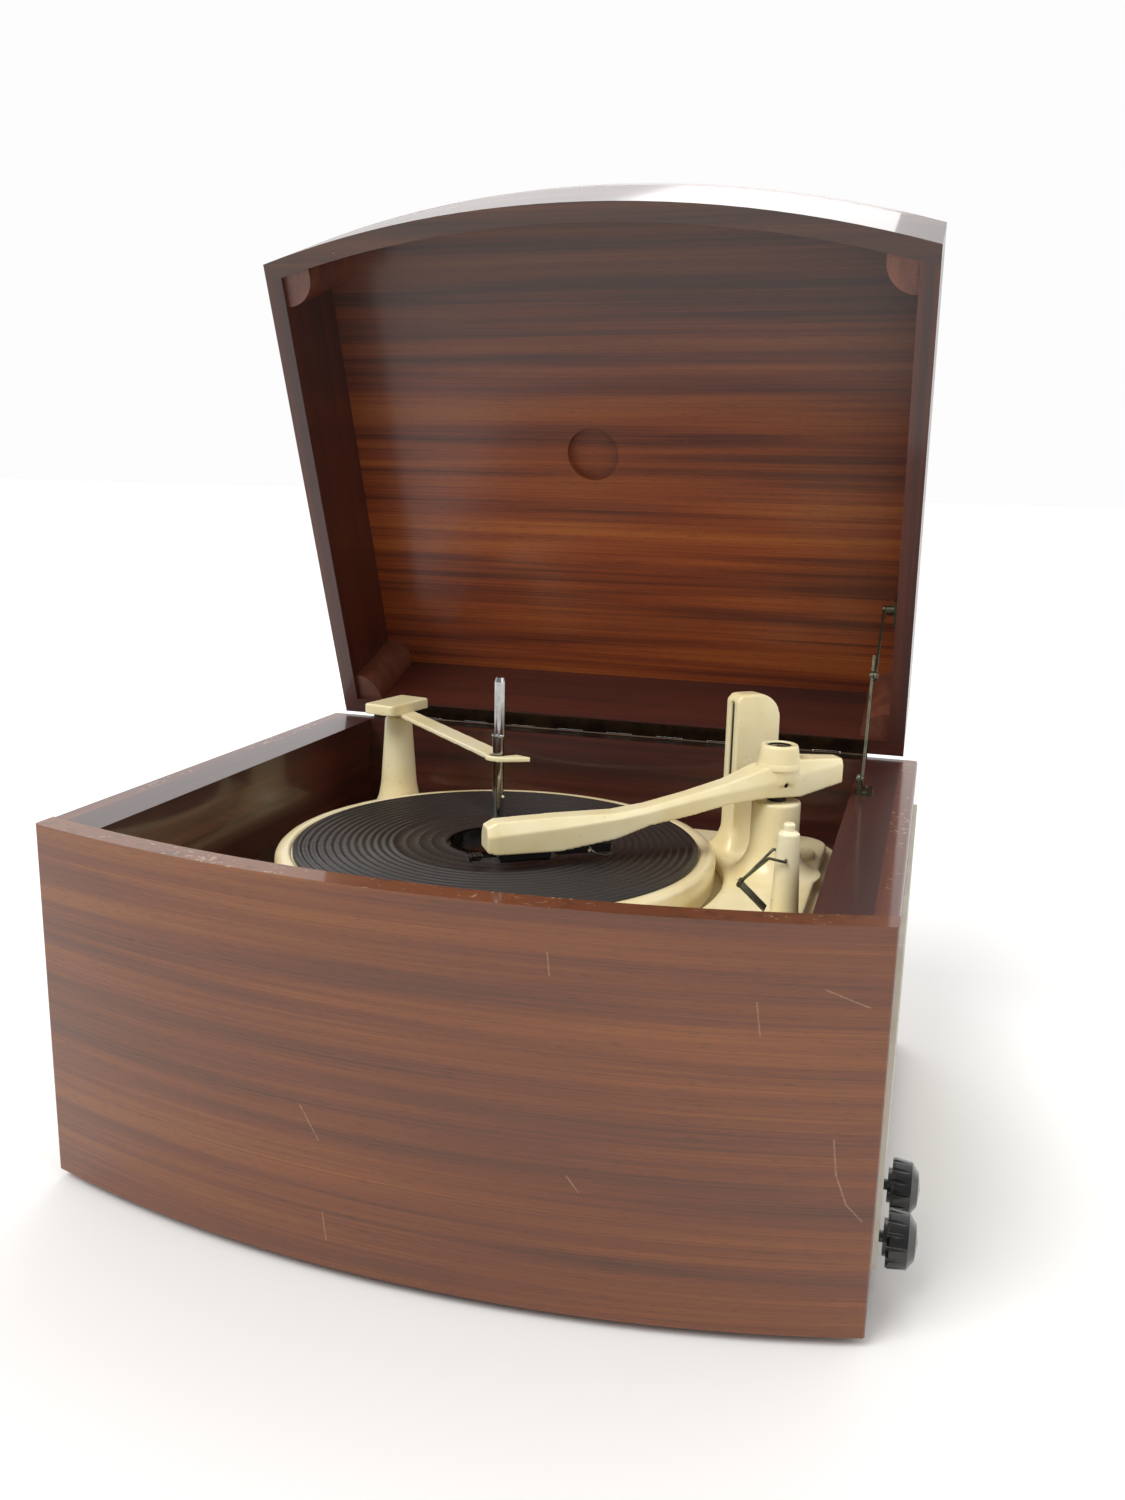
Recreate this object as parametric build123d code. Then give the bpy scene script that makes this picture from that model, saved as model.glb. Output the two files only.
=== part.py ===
from build123d import *
from math import asin, atan2, cos, degrees, hypot, pi, radians, sin, sqrt
import os

# A table record player: a bow-fronted wooden cabinet with a hinged lid, an automatic
# changer sprung on a board in its well, a speaker in each side and the amplifier below.
# Millimetres. In the working frame x = 0 is the centre line, y = 0 the line where the
# bowed front meets the sides, z = 0 the rim of the cabinet. Pieces are written in the
# part's own frame, whose origin is under the middle of the part as it stands open.

# cabinet
cab_width = 470.0
cab_depth = 361.5
cab_height = 214.0
bow_rise = 35.0
front_thick = 15.0
side_thick = 12.0
rim_width = 39.5
rim_thick = 12.0
lining_thick = 6.0
base_thick = 12.0
cover_thick = 4.0
rail_thick = 14.0
rail_height = 82.0
edge_round = 2.0
board_thick = 9.0
board_drop = 66.0
board_cut_margin = 24.0
cleat = 12.0
foot_height = 6.0
foot_radius = 11.0
foot_inset = 34.0
seat_gap = 0.3
run_gap = 0.05

# lid
lid_inset = 10.5
lid_front_inset = 10.0
lid_bow = 31.5
lid_height = 83.0
lid_wall = 12.0
lid_top_thick = 11.0
lid_seat = 0.4
block_radius = 20.0
recess_radius = 20.0
recess_depth = 7.0
lid_open = 71.0

# piano hinge
hinge_margin = 25.5
leaf_width = 11.0
leaf_thick = 1.2
knuckle_radius = 1.7
hinge_pin_radius = 0.8
knuckle_count = 20
knuckle_gap = 0.4

# folding stay
stay_reach = 109.5
stay_rise = 8.0
stay_lid_reach = 111.5
stay_lid_rise = 10.0
stay_lower = 70.0
stay_slack = 1.04
stay_inset = 5.5
stay_tab = 14.0
link_thick = 1.6
link_gap = 0.4
link_half = 2.6
rivet_radius = 2.6
rivet_head = 0.9
stay_pin_radius = 1.5
ear_thick = 1.8

# sides
grille_length = 304.0
grille_height = 178.0
grille_thick = 2.5
grille_round = 12.0
grille_margin = 15.0
grille_centre_y = 182.0
grille_centre_z = -112.0
slat_count = 11
slat_gap = 8.0
speaker_y = 216.0
speaker_z = -145.5
speaker_long = 89.0
speaker_short = 55.0
speaker_depth = 46.0
speaker_flange = 9.0
speaker_sheet = 1.5
magnet_radius = 26.0
magnet_length = 20.0
knob_y = (46.0, 97.0)
knob_z = -186.0
knob_radius = 15.3
knob_length = 17.5
knob_neck = 2.0
knob_flutes = 14
flute_radius = 1.6
pot_shaft_radius = 3.0
pot_radius = 11.5
pot_length = 14.0

# changer
spindle_shift = -28.0
spindle_y = 163.0
spindle_radius = 3.55
spindle_top = 75.0
spindle_ledge = 38.0
spindle_offset = 0.9
plate_gap_left = 30.5
plate_gap_right = 10.5
plate_front = 12.0
plate_back = 320.0
plate_z = -56.0
plate_thick = 1.6
plate_skirt = 6.0
plate_round = 28.0
platter_edge = 35.5
platter_top = -33.0
platter_skirt = 20.0
platter_wall = 2.0
platter_round = 4.0
mat_margin = 11.0
mat_inner = 31.5
mat_top = -31.5
mat_seat = -35.0
rib_count = 13
rib_height = 0.9
hub_floor = -39.0
hub_radius = 13.0
bearing_radius = 8.0
ring_width = 2.2
spring_inset = 22.0
idler_radius = 24.0
idler_thick = 5.0
idler_angle = 102.0
pulley_radius = 5.0
pulley_angle = 214.0
motor_radius = 36.0
motor_length = 52.0

# pickup arm, laid out along its own line from the front of the head to the tail
pivot_inset = 33.0
pivot_y = 211.0
arm_angle = 33.7
arm_reach = 189.3
arm_wall = 1.6
arm_pin_z = 12.0
arm_pin_radius = 1.5
boss_radius = 13.6
boss_crown = 11.8
boss_top = 36.0
boss_bore = 8.4
pillar_radius = 15.5
pillar_top = 0.0
yoke_radius = 4.0
apron_top = -47.0
cartridge_z = -24.5
cartridge_from = 9.0
cartridge_length = 30.0
cartridge_width = 9.0
cartridge_height = 8.0
stylus_gap = 0.2
fin_inset = 57.5
fin_y = 261.5
fin_angle = 41.5
fin_length = 34.0
fin_thick = 15.0
fin_top = 59.0
fin_round = 18.0
strip_width = 3.0
strip_depth = 4.0
post_inset = 13.0
post_y = 105.0
post_radius = 6.0
post_foot_radius = 8.4
post_top = 10.0
post_cap_radius = 3.3
post_cap_top = 15.0
bail_z = -5.0
bail_wire = 0.8
speed_inset = 35.0
speed_y = 42.0
speed_radius = 14.0
speed_height = 13.0
adjuster_inset = 22.0
adjuster_y = 247.0
adjuster_radius = 12.5
adjuster_height = 4.0

# overarm that steadies the stack of records
steady_inset = 25.0
steady_y = 281.0
steady_z = 21.5
steady_thick = 3.0
steady_width = 13.6
steady_root = 25.0
steady_cap = (26.0, 46.0, 7.0)
steady_post_top = 19.0
steady_rod_radius = 3.0
hook_bore = 5.5
hook_slot = 10.6
hook_lip = 1.6

# amplifier
chassis_gap = 9.0
chassis_length = 148.0
chassis_front = 28.0
chassis_back = 124.0
chassis_height = 42.0
chassis_sheet = 1.5
valve_radius = 10.5
valve_height = 52.0

# values that follow from the sizes above
half_width = cab_width / 2
well_half = half_width - rim_width
inner_half = half_width - side_thick
bow_radius = (half_width ** 2 + bow_rise ** 2) / (2 * bow_rise)
bow_centre = bow_radius - bow_rise
lid_half = half_width - lid_inset
hinge_length = 2 * (lid_half - hinge_margin)
stay_x = well_half + stay_inset
plate_left = well_half - plate_gap_left
plate_right = well_half - plate_gap_right
spindle_x = (plate_right - plate_left) / 2 + spindle_shift
platter_radius = (plate_left + plate_right) / 2 - platter_edge
mat_radius = platter_radius - mat_margin
pivot_x = plate_right - pivot_inset
fin_x = plate_right - fin_inset
post_x = plate_right - post_inset
speed_x = plate_right - speed_inset
adjuster_x = plate_right - adjuster_inset
steady_x = steady_inset - plate_left
chassis_right = inner_half - chassis_gap
chassis_left = chassis_right - chassis_length
lid_radius = (lid_half ** 2 + lid_bow ** 2) / (2 * lid_bow)
lid_centre = lid_front_inset + lid_radius - lid_bow
lid_under = lid_seat + lid_height - lid_top_thick
hinge_y = cab_depth + knuckle_radius + 0.2
hinge_z = lid_seat / 2
base_top = base_thick - cab_height
rail_y = cab_depth - rail_thick
board_top = -board_drop
knob_reach = grille_thick + knob_neck + knob_length
lid_back_reach = hinge_y + edge_round
lid_back_reach += (lid_seat + lid_height - edge_round - hinge_z) * sin(radians(lid_open))
lid_back_reach -= (hinge_y - cab_depth + edge_round) * cos(radians(lid_open))
box_mid_x = (knob_reach - grille_thick) / 2
box_mid_y = (lid_back_reach - bow_rise) / 2
to_part = Pos(-box_mid_x, -box_mid_y, cab_height + foot_height)
to_open = Pos(0, hinge_y, hinge_z) * Rot(-lid_open, 0, 0) * Pos(0, -hinge_y, -hinge_z)
at_spindle = Pos(spindle_x, spindle_y, 0)
at_arm = Pos(pivot_x, pivot_y, 0) * Rot(0, 0, arm_angle) * Pos(-arm_reach, 0, 0)


def box(x0, x1, y0, y1, z0, z1):
    """A block between two corners."""
    return Pos((x0 + x1) / 2, (y0 + y1) / 2, (z0 + z1) / 2) * Box(x1 - x0, y1 - y0, z1 - z0)


def rod(x, y, z0, z1, radius):
    """An upright cylinder."""
    return Pos(x, y, (z0 + z1) / 2) * Cylinder(radius, z1 - z0)


def rod_x(x0, x1, y, z, radius):
    """A cylinder along x."""
    return Pos((x0 + x1) / 2, y, z) * Rot(0, 90, 0) * Cylinder(radius, x1 - x0)


def rod_y(x, y0, y1, z, radius):
    """A cylinder along y."""
    return Pos(x, (y0 + y1) / 2, z) * Rot(90, 0, 0) * Cylinder(radius, y1 - y0)


def turned(points):
    """A solid of revolution about the z axis from (radius, height) points."""
    outline = [(r, 0, z) for r, z in points]
    return revolve(make_face(Polyline(*outline, close=True)), Axis.Z)


def rounded_plan(x0, x1, y0, y1, z0, z1, radius):
    """A block with its upright edges rounded."""
    block = box(x0, x1, y0, y1, z0, z1)
    return fillet(block.edges().filter_by(Axis.Z), radius)


def write(shape, name):
    """Moves a piece to the part's own frame and writes it."""
    export_step(to_part * shape, "parts/" + name + ".step")


# cabinet

def bow_disc(radius, centre, z0, z1):
    """The tall drum whose face is the bow of a front."""
    return rod(0, centre, z0, z1, radius)


def cabinet_front():
    """The bowed front, one bent board across the whole width."""
    block = box(-half_width, half_width, -bow_rise, front_thick + 2, -cab_height, 0)
    board = (block & bow_disc(bow_radius, bow_centre, -cab_height, 0))
    board -= bow_disc(bow_radius - front_thick, bow_centre, -cab_height, 0)
    ends = board.edges().filter_by(Axis.Z).group_by(Axis.Y)[0]
    return fillet(ends, edge_round)


def behind_front(z0, z1, gap=0.0):
    """The space behind the bowed front, which shapes what butts against it."""
    return bow_disc(bow_radius - front_thick - gap, bow_centre, z0, z1)


def cabinet_side(side):
    """A side board with the speaker opening and the two shaft holes of its knobs."""
    outer = side * half_width
    inner = side * inner_half
    board = box(min(outer, inner), max(outer, inner), 0, cab_depth, -cab_height, 0)
    board &= behind_front(-cab_height, 0)
    mouth = Pos(side * (half_width + inner_half) / 2, speaker_y, speaker_z)
    hole = extrude(Ellipse(speaker_long - speaker_flange, speaker_short - speaker_flange),
                   side_thick, both=True)
    board -= mouth * Rot(0, 90, 0) * Rot(0, 0, 90) * hole
    if side > 0:
        for y in knob_y:
            board -= rod_x(inner_half - 1, half_width + 1, y, knob_z, pot_shaft_radius + 1)
    top = board.edges().filter_by(Axis.Y).group_by(Axis.Z)[-1].sort_by(Axis.X)
    return fillet([top[-1] if side > 0 else top[0]], edge_round)


def rim_board(side):
    """The wide rim beside the well, flush with the top of the side."""
    xs = sorted((side * inner_half, side * well_half))
    return box(xs[0], xs[1], 0, rail_y, -rim_thick, 0) & behind_front(-rim_thick, 0)


def well_lining(side):
    """The upright board that closes the well below the rim."""
    xs = sorted((side * (well_half + 1), side * (well_half + 1 + lining_thick)))
    return box(xs[0], xs[1], 0, rail_y, board_top, -rim_thick) & behind_front(board_top, -rim_thick)


def back_rail():
    """The rail under the hinge, rebated for its leaf."""
    rail = box(-inner_half, inner_half, rail_y, cab_depth, -rail_height, 0)
    return rail - box(-hinge_length / 2, hinge_length / 2, cab_depth - leaf_width, cab_depth,
                      -leaf_thick, 0)


def back_cover():
    """The thin back panel with two rows of vent slots and a hole for the mains gland."""
    panel = box(-inner_half, inner_half, cab_depth - cover_thick, cab_depth, -cab_height,
                -rail_height)
    for row_z in (-150.0, -110.0):
        for k in range(9):
            slot = rounded_plan(-17, 17, -4, 4, -cover_thick, cover_thick, 3.9)
            panel -= Pos((k - 4) * 44.0, cab_depth - cover_thick / 2, row_z) * Rot(90, 0, 0) * slot
    return panel - rod_y(gland_x, cab_depth - cover_thick - 1, cab_depth + 1, gland_z, gland_neck)


gland_x = 120.0
gland_z = -184.0
gland_neck = 6.0


def mains_gland():
    """The rubber grommet in the back panel, with no lead in it."""
    neck = rod_y(gland_x, cab_depth - cover_thick - 2, cab_depth + 2, gland_z, gland_neck - run_gap)
    inner_lip = rod_y(gland_x, cab_depth - cover_thick - 2, cab_depth - cover_thick - run_gap,
                      gland_z, gland_neck + 3)
    outer_lip = rod_y(gland_x, cab_depth + run_gap, cab_depth + 2, gland_z, gland_neck + 3)
    bore = rod_y(gland_x, cab_depth - cover_thick - 3, cab_depth + 3, gland_z, 3.2)
    return neck + inner_lip + outer_lip - bore


def base_board():
    """The bottom board inside the front and sides."""
    block = box(-inner_half, inner_half, 0, cab_depth - cover_thick, -cab_height, base_top)
    block += box(-inner_half, inner_half, -bow_rise, 1, -cab_height, base_top)
    return block & behind_front(-cab_height, base_top)


def rubber_feet():
    """Four turned feet under the corners of the base board."""
    profile = [(0, -foot_height), (foot_radius - 2, -foot_height), (foot_radius, 0), (0, 0)]
    foot = Pos(0, 0, -cab_height) * turned(profile)
    corners = [(x, y) for x in (-1, 1) for y in (foot_inset, cab_depth - foot_inset)]
    return Compound([Pos(x * (half_width - foot_inset), y, 0) * foot for x, y in corners])


def motor_board():
    """The board the changer is sprung on, cut out under the mechanism."""
    block = box(-inner_half, inner_half, -bow_rise, rail_y, board_top - board_thick, board_top)
    block &= behind_front(board_top - board_thick, board_top)
    cut = rounded_plan(-plate_left + board_cut_margin, plate_right - board_cut_margin,
                       plate_front + board_cut_margin, plate_back - board_cut_margin,
                       board_top - board_thick - 1, board_top + 1, board_cut_margin)
    return block - cut


def board_cleats():
    """The two strips on the sides that carry the motor board."""
    z1 = board_top - board_thick
    strips = []
    for side in (-1, 1):
        xs = sorted((side * inner_half, side * (inner_half - cleat)))
        strips.append(box(xs[0], xs[1], front_thick + 6, rail_y - 6, z1 - cleat, z1))
    return Compound(strips)


def back_screws():
    """Six round-head screws that hold the back panel."""
    screws = []
    for x in (-inner_half + 10, 0, inner_half - 10):
        for z in (base_top - base_thick / 2, -rail_height - 7):
            head = Pos(x, cab_depth, z) * Rot(-90, 0, 0) * Pos(0, 0, 0.9) * Cylinder(3.6, 1.8)
            screws.append(fillet(head.edges().sort_by(Axis.Y)[-1], 1.2))
    return Compound(screws)


# sides

def grille(side):
    """A pale moulded grille plate with level slots, proud of the side."""
    x0 = half_width if side > 0 else -half_width - grille_thick
    plate = Pos(x0, grille_centre_y, grille_centre_z) * Rot(0, 90, 0) * Rot(0, 0, 90)
    plate *= extrude(RectangleRounded(grille_length, grille_height, grille_round), grille_thick)
    span = grille_height - 2 * grille_margin - 34
    for k in range(slat_count):
        z = grille_centre_z + grille_height / 2 - grille_margin - (k + 0.5) * span / slat_count
        bar = Pos(x0, grille_centre_y, z) * Rot(0, 90, 0) * Rot(0, 0, 90)
        bar *= extrude(SlotOverall(grille_length - 2 * grille_margin, slat_gap), grille_thick)
        plate -= bar
    if side > 0:
        for y in knob_y:
            plate -= rod_x(x0 - 1, x0 + grille_thick + 1, y, knob_z, pot_shaft_radius + 1)
    return plate


def oval(x, long_half, short_half):
    """An upright oval across the speaker's line, on the plane at x."""
    return Pos(x, speaker_y, speaker_z) * Rot(0, 90, 0) * Rot(0, 0, 90) * Ellipse(long_half, short_half)


def speaker_frame(side):
    """The pressed basket, an oval flange and a bowl, with the magnet pot behind it."""
    face = side * (inner_half - seat_gap)
    mouth = (speaker_long - speaker_flange, speaker_short - speaker_flange)
    tail = face - side * speaker_depth
    flange = extrude(Ellipse(speaker_long, speaker_short), speaker_sheet)
    flange = Pos(min(face, face - side * speaker_sheet), speaker_y, speaker_z) * (
        Rot(0, 90, 0) * Rot(0, 0, 90) * flange)
    bowl = loft([oval(face, *mouth), oval(tail, magnet_radius + 4, magnet_radius + 4)])
    hollow = loft([oval(face + side * 0.01, mouth[0] - speaker_sheet, mouth[1] - speaker_sheet),
                   oval(tail + side * speaker_sheet, magnet_radius + 2, magnet_radius + 2)])
    far = tail - side * magnet_length
    pot = rod_x(min(tail, far), max(tail, far), speaker_y, speaker_z, magnet_radius)
    return flange + bowl - hollow + pot


def speaker_cone(side):
    """The paper cone, with its gasket between the basket and the side."""
    face = side * (inner_half - seat_gap)
    tail = face - side * (speaker_depth - 8)
    mouth = (speaker_long - speaker_flange - 4, speaker_short - speaker_flange - 4)
    outer = loft([oval(face, *mouth), oval(tail, 13, 13)])
    inner = loft([oval(face, mouth[0] - 1, mouth[1] - 1), oval(tail + side, 12, 12)])
    ring = extrude(Ellipse(speaker_long, speaker_short) - Ellipse(mouth[0] - 1, mouth[1] - 1),
                   seat_gap)
    ring = Pos(min(face, face + side * seat_gap), speaker_y, speaker_z) * (
        Rot(0, 90, 0) * Rot(0, 0, 90) * ring)
    return outer - inner + ring


def fluted_knob(y):
    """A black fluted knob with a domed end and a turned neck, on the shaft of its control."""
    profile = [(0, 0), (knob_radius * 0.62, 0), (knob_radius * 0.62, knob_neck),
               (knob_radius - 0.6, knob_neck), (knob_radius, knob_neck + 1.5),
               (knob_radius * 0.93, knob_length * 0.72), (knob_radius * 0.6, knob_length * 0.93),
               (0, knob_length)]
    body = turned([(r, z) for r, z in profile])
    for k in range(knob_flutes):
        groove = Pos(knob_radius + 0.6, 0, knob_length / 2 + knob_neck) * Cylinder(flute_radius,
                                                                                  knob_length)
        body -= Rot(0, 0, 360.0 * k / knob_flutes) * groove
    reach = half_width + grille_thick + knob_neck - chassis_right + chassis_sheet + 6
    body += Pos(0, 0, 1 - reach / 2) * Cylinder(pot_shaft_radius, reach + 2)
    return Pos(half_width + grille_thick + knob_neck, y, knob_z) * Rot(0, 90, 0) * body


def potentiometer(y):
    """A control on the chassis wall, bored for the knob's shaft."""
    face = chassis_right - chassis_sheet
    can = rod_x(face - pot_length, face, y, knob_z, pot_radius)
    return can - rod_x(face - 7, face + 1, y, knob_z, pot_shaft_radius + run_gap)


# amplifier

def amplifier_chassis():
    """An upturned metal tray on the base board, with holes for valves and controls."""
    z1 = base_top + chassis_height
    tray = box(chassis_left, chassis_right, chassis_front, chassis_back, base_top, z1)
    tray -= box(chassis_left + chassis_sheet, chassis_right - chassis_sheet,
                chassis_front + chassis_sheet, chassis_back - chassis_sheet, base_top - 1,
                z1 - chassis_sheet)
    for y in knob_y:
        tray -= rod_x(chassis_right - 4, chassis_right + 1, y, knob_z, pot_shaft_radius + 0.2)
    return tray


def valves():
    """Four glass valves, each with a dark base skirt below its bulb."""
    z0 = base_top + chassis_height
    profile = [(0, 0), (valve_radius, 0), (valve_radius, valve_height - 8),
               (valve_radius * 0.7, valve_height - 2.5), (2, valve_height - 1.5),
               (0.8, valve_height + 3), (0, valve_height + 3)]
    bulb = turned(profile)
    rows = (chassis_back - 2 * valve_radius - 1, chassis_front + 2 * valve_radius + 1)
    return Compound([Pos(chassis_right - (2.3 + 3 * k) * 2 * valve_radius, y, z0) * bulb
                     for y in rows for k in (0.5, 0)])


def transformers():
    """The mains and output transformers: stacked plates round a wound bobbin."""
    z0 = base_top + chassis_height
    group = []
    for y, w, h in ((chassis_front + 26, 40.0, 44.0), (chassis_back - 22, 30.0, 34.0)):
        x = chassis_left + 30
        core = box(x - w / 2, x + w / 2, y - w * 0.28, y + w * 0.28, z0, z0 + h)
        coil = box(x - w * 0.3, x + w * 0.3, y - w * 0.52, y + w * 0.52, z0 + 6, z0 + h - 6)
        group.append(core + fillet(coil.edges().filter_by(Axis.Z), 4))
    return Compound(group)


# lid, drawn shut and then turned open about the hinge

def lid_space(radius_less, z0, z1):
    """The plan of the lid, bowed like the cabinet, inside its front face."""
    return bow_disc(lid_radius - radius_less, lid_centre, z0, z1)


def lid_top():
    """The lid's flat top board, with a round recess over the spindle."""
    block = box(-lid_half, lid_half, lid_front_inset - lid_bow, cab_depth, lid_under,
                lid_seat + lid_height)
    board = block & lid_space(0, lid_under, lid_seat + lid_height)
    board -= rod(spindle_x, spindle_y, lid_under - 1, lid_under + recess_depth, recess_radius)
    top = board.edges().group_by(Axis.Z)[-1]
    return fillet(top, edge_round)


def lid_front():
    """The bowed front wall of the lid."""
    block = box(-lid_half, lid_half, lid_front_inset - lid_bow, lid_front_inset + lid_wall + 2,
                lid_seat, lid_under)
    return (block & lid_space(0, lid_seat, lid_under)) - lid_space(lid_wall, lid_seat, lid_under)


def lid_side(side):
    """A side wall of the lid, from the front wall to the back wall."""
    xs = sorted((side * lid_half, side * (lid_half - lid_wall)))
    wall = box(xs[0], xs[1], 0, cab_depth - lid_wall, lid_seat, lid_under)
    return wall & lid_space(lid_wall, lid_seat, lid_under)


def lid_back():
    """The back wall of the lid, rebated for the hinge leaf."""
    wall = box(-lid_half, lid_half, cab_depth - lid_wall, cab_depth, lid_seat, lid_under)
    return wall - box(-hinge_length / 2, hinge_length / 2, cab_depth - leaf_width, cab_depth,
                      lid_seat, lid_seat + leaf_thick)


def lid_corner_blocks():
    """Glue blocks in the lid's four inner corners, each with a rounded face."""
    inner = lid_half - lid_wall
    space = lid_space(lid_wall, lid_seat, lid_under)
    blocks = []
    for side in (-1, 1):
        front_y = lid_centre - sqrt((lid_radius - lid_wall) ** 2 - inner ** 2)
        for y, back in ((front_y, False), (cab_depth - lid_wall, True)):
            post = rod(side * inner, y, lid_seat + 4, lid_under, block_radius)
            keep = box(min(side * inner, 0), max(side * inner, 0), -bow_rise,
                       cab_depth - lid_wall, lid_seat, lid_under)
            post = post & keep & space
            blocks.append(post)
    return Compound(blocks)


# hinge

def knuckles(first):
    """Every second knuckle of the hinge, bored for the pin."""
    pitch = hinge_length / knuckle_count
    barrels = []
    for k in range(first, knuckle_count, 2):
        x0 = -hinge_length / 2 + k * pitch + knuckle_gap / 2
        barrels.append(rod_x(x0, x0 + pitch - knuckle_gap, hinge_y, hinge_z, knuckle_radius))
    return barrels


def hinge_leaf(first, z0, z1):
    """A leaf joined to its knuckles by a short web at each."""
    pitch = hinge_length / knuckle_count
    leaf = box(-hinge_length / 2, hinge_length / 2, cab_depth - leaf_width, cab_depth, z0, z1)
    for k, barrel in zip(range(first, knuckle_count, 2), knuckles(first)):
        x0 = -hinge_length / 2 + k * pitch + knuckle_gap / 2
        leaf += box(x0, x0 + pitch - knuckle_gap, cab_depth - 1, hinge_y, z0, z1)
        leaf += barrel
    return leaf - rod_x(-hinge_length, hinge_length, hinge_y, hinge_z, hinge_pin_radius + run_gap)


def hinge_cabinet_leaf():
    """The leaf let into the back rail."""
    return hinge_leaf(0, -leaf_thick, 0)


def hinge_lid_leaf():
    """The leaf let into the lid's back wall."""
    return hinge_leaf(1, lid_seat, lid_seat + leaf_thick)


def hinge_pin():
    """The wire that runs through all the knuckles."""
    return rod_x(-hinge_length / 2, hinge_length / 2, hinge_y, hinge_z, hinge_pin_radius)


# stay: a link from the rim and a link from the lid, joined at the knee

def circle_meet(a, b, near, far):
    """The point in front that is near from a and far from b, in the y, z plane."""
    gap = hypot(b[0] - a[0], b[1] - a[1])
    along = (near ** 2 - far ** 2 + gap ** 2) / (2 * gap)
    off = sqrt(near ** 2 - along ** 2)
    uy, uz = (b[0] - a[0]) / gap, (b[1] - a[1]) / gap
    return (a[0] + uy * along - uz * off, a[1] + uz * along + uy * off)


def opened(point):
    """Where a point of the shut lid goes when the lid is open, in the y, z plane."""
    y, z = point[0] - hinge_y, point[1] - hinge_z
    c, s = cos(radians(lid_open)), sin(radians(lid_open))
    return (hinge_y + y * c + z * s, hinge_z - y * s + z * c)


def direction(a, b):
    """The angle of the line from a to b, from +y towards +z."""
    return degrees(atan2(b[1] - a[1], b[0] - a[0]))


stay_pivot = (cab_depth - stay_reach, stay_rise)
lid_pivot_shut = (cab_depth - stay_lid_reach, stay_lid_rise)
lid_pivot = opened(lid_pivot_shut)
stay_upper = hypot(lid_pivot[0] - stay_pivot[0], lid_pivot[1] - stay_pivot[1])
stay_upper = stay_upper * stay_slack - stay_lower
knee = circle_meet(stay_pivot, lid_pivot, stay_lower, stay_upper)


def link(length, hole):
    """A flat link along +y from the pivot at its origin, 0 to link_thick in x."""
    bar = box(0, link_thick, 0, length, -link_half, link_half)
    bar += rod_x(0, link_thick, 0, 0, link_half + 0.8)
    bar += rod_x(0, link_thick, length, 0, link_half + 0.8)
    return bar - rod_x(-1, link_thick + 1, 0, 0, hole)


def stay_lower_link():
    """The link on the cabinet, with half of the knee's rivet on its outer face."""
    bar = link(stay_lower, stay_pin_radius + run_gap)
    tab = box(0, link_thick, stay_lower, stay_lower + stay_tab, 1 - link_half, link_half - 1)
    head = rod_x(-rivet_head, 0, stay_lower, 0, rivet_radius)
    turn = Rot(direction(stay_pivot, knee), 0, 0)
    return Pos(stay_x, *stay_pivot) * turn * (bar + tab + head)


def stay_upper_link():
    """The link on the lid, beside the lower one, with the other half of the rivet."""
    x0 = stay_x + link_thick + link_gap
    bar = link(stay_upper, stay_pin_radius + run_gap)
    head = rod_x(link_thick, link_thick + rivet_head, stay_upper, 0, rivet_radius)
    return Pos(x0, *lid_pivot) * Rot(direction(lid_pivot, knee), 0, 0) * (bar + head)


def stay_cabinet_bracket():
    """An angle bracket on the rim with an ear and a headed pin."""
    y, z = stay_pivot
    ear_x = stay_x - link_gap - ear_thick
    foot = box(ear_x - 1, stay_x + 8, y - 11, y + 11, 0, 1.5)
    ear = box(ear_x, ear_x + ear_thick, y - 5, y + 5, 0, z)
    ear += rod_x(ear_x, ear_x + ear_thick, y, z, 5)
    pin = rod_x(ear_x - 0.8, stay_x + link_thick + 0.2, y, z, stay_pin_radius)
    return foot + ear + pin + rod_x(ear_x - 0.8, ear_x, y, z, rivet_radius)


def stay_lid_bracket():
    """A plate on the lid's right wall with a standing pin, drawn shut."""
    y, z = lid_pivot_shut
    wall = lid_half - lid_wall
    x0 = stay_x + link_thick + link_gap
    plate = box(wall - 1.6, wall, y - 9, y + 9, z - 7, z + 11)
    collar = rod_x(x0 + link_thick + rivet_head + 0.2, wall - 1, y, z, 3.4)
    return plate + collar + rod_x(x0 - 0.1, wall - 1, y, z, stay_pin_radius)


# changer: fixed pieces

def unit_plate():
    """The pressed plate of the changer, with a turned-down edge."""
    z0 = plate_z - plate_skirt
    outer = rounded_plan(-plate_left, plate_right, plate_front, plate_back, z0, plate_z,
                         plate_round)
    outer = fillet(outer.edges().group_by(Axis.Z)[-1], 1.5)
    inner = rounded_plan(-plate_left + plate_thick, plate_right - plate_thick,
                         plate_front + plate_thick, plate_back - plate_thick, z0 - 1,
                         plate_z - plate_thick, plate_round - plate_thick)
    plate = outer - inner
    plate -= rod(spindle_x, spindle_y, z0, plate_z + 1, spindle_radius + run_gap)
    plate -= rod(*pulley_place, z0, plate_z + 1, pulley_radius + 3)
    plate -= rod(*idler_place, z0, plate_z + 1, idler_axle + run_gap)
    plate -= rod(pivot_x, pivot_y, z0, plate_z + 1, yoke_radius + 1)
    plate -= rod(steady_x, steady_y, z0, plate_z + 1, steady_rod_radius + 1)
    return plate - rod(speed_x, speed_y, z0, plate_z + 1, 4)


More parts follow.
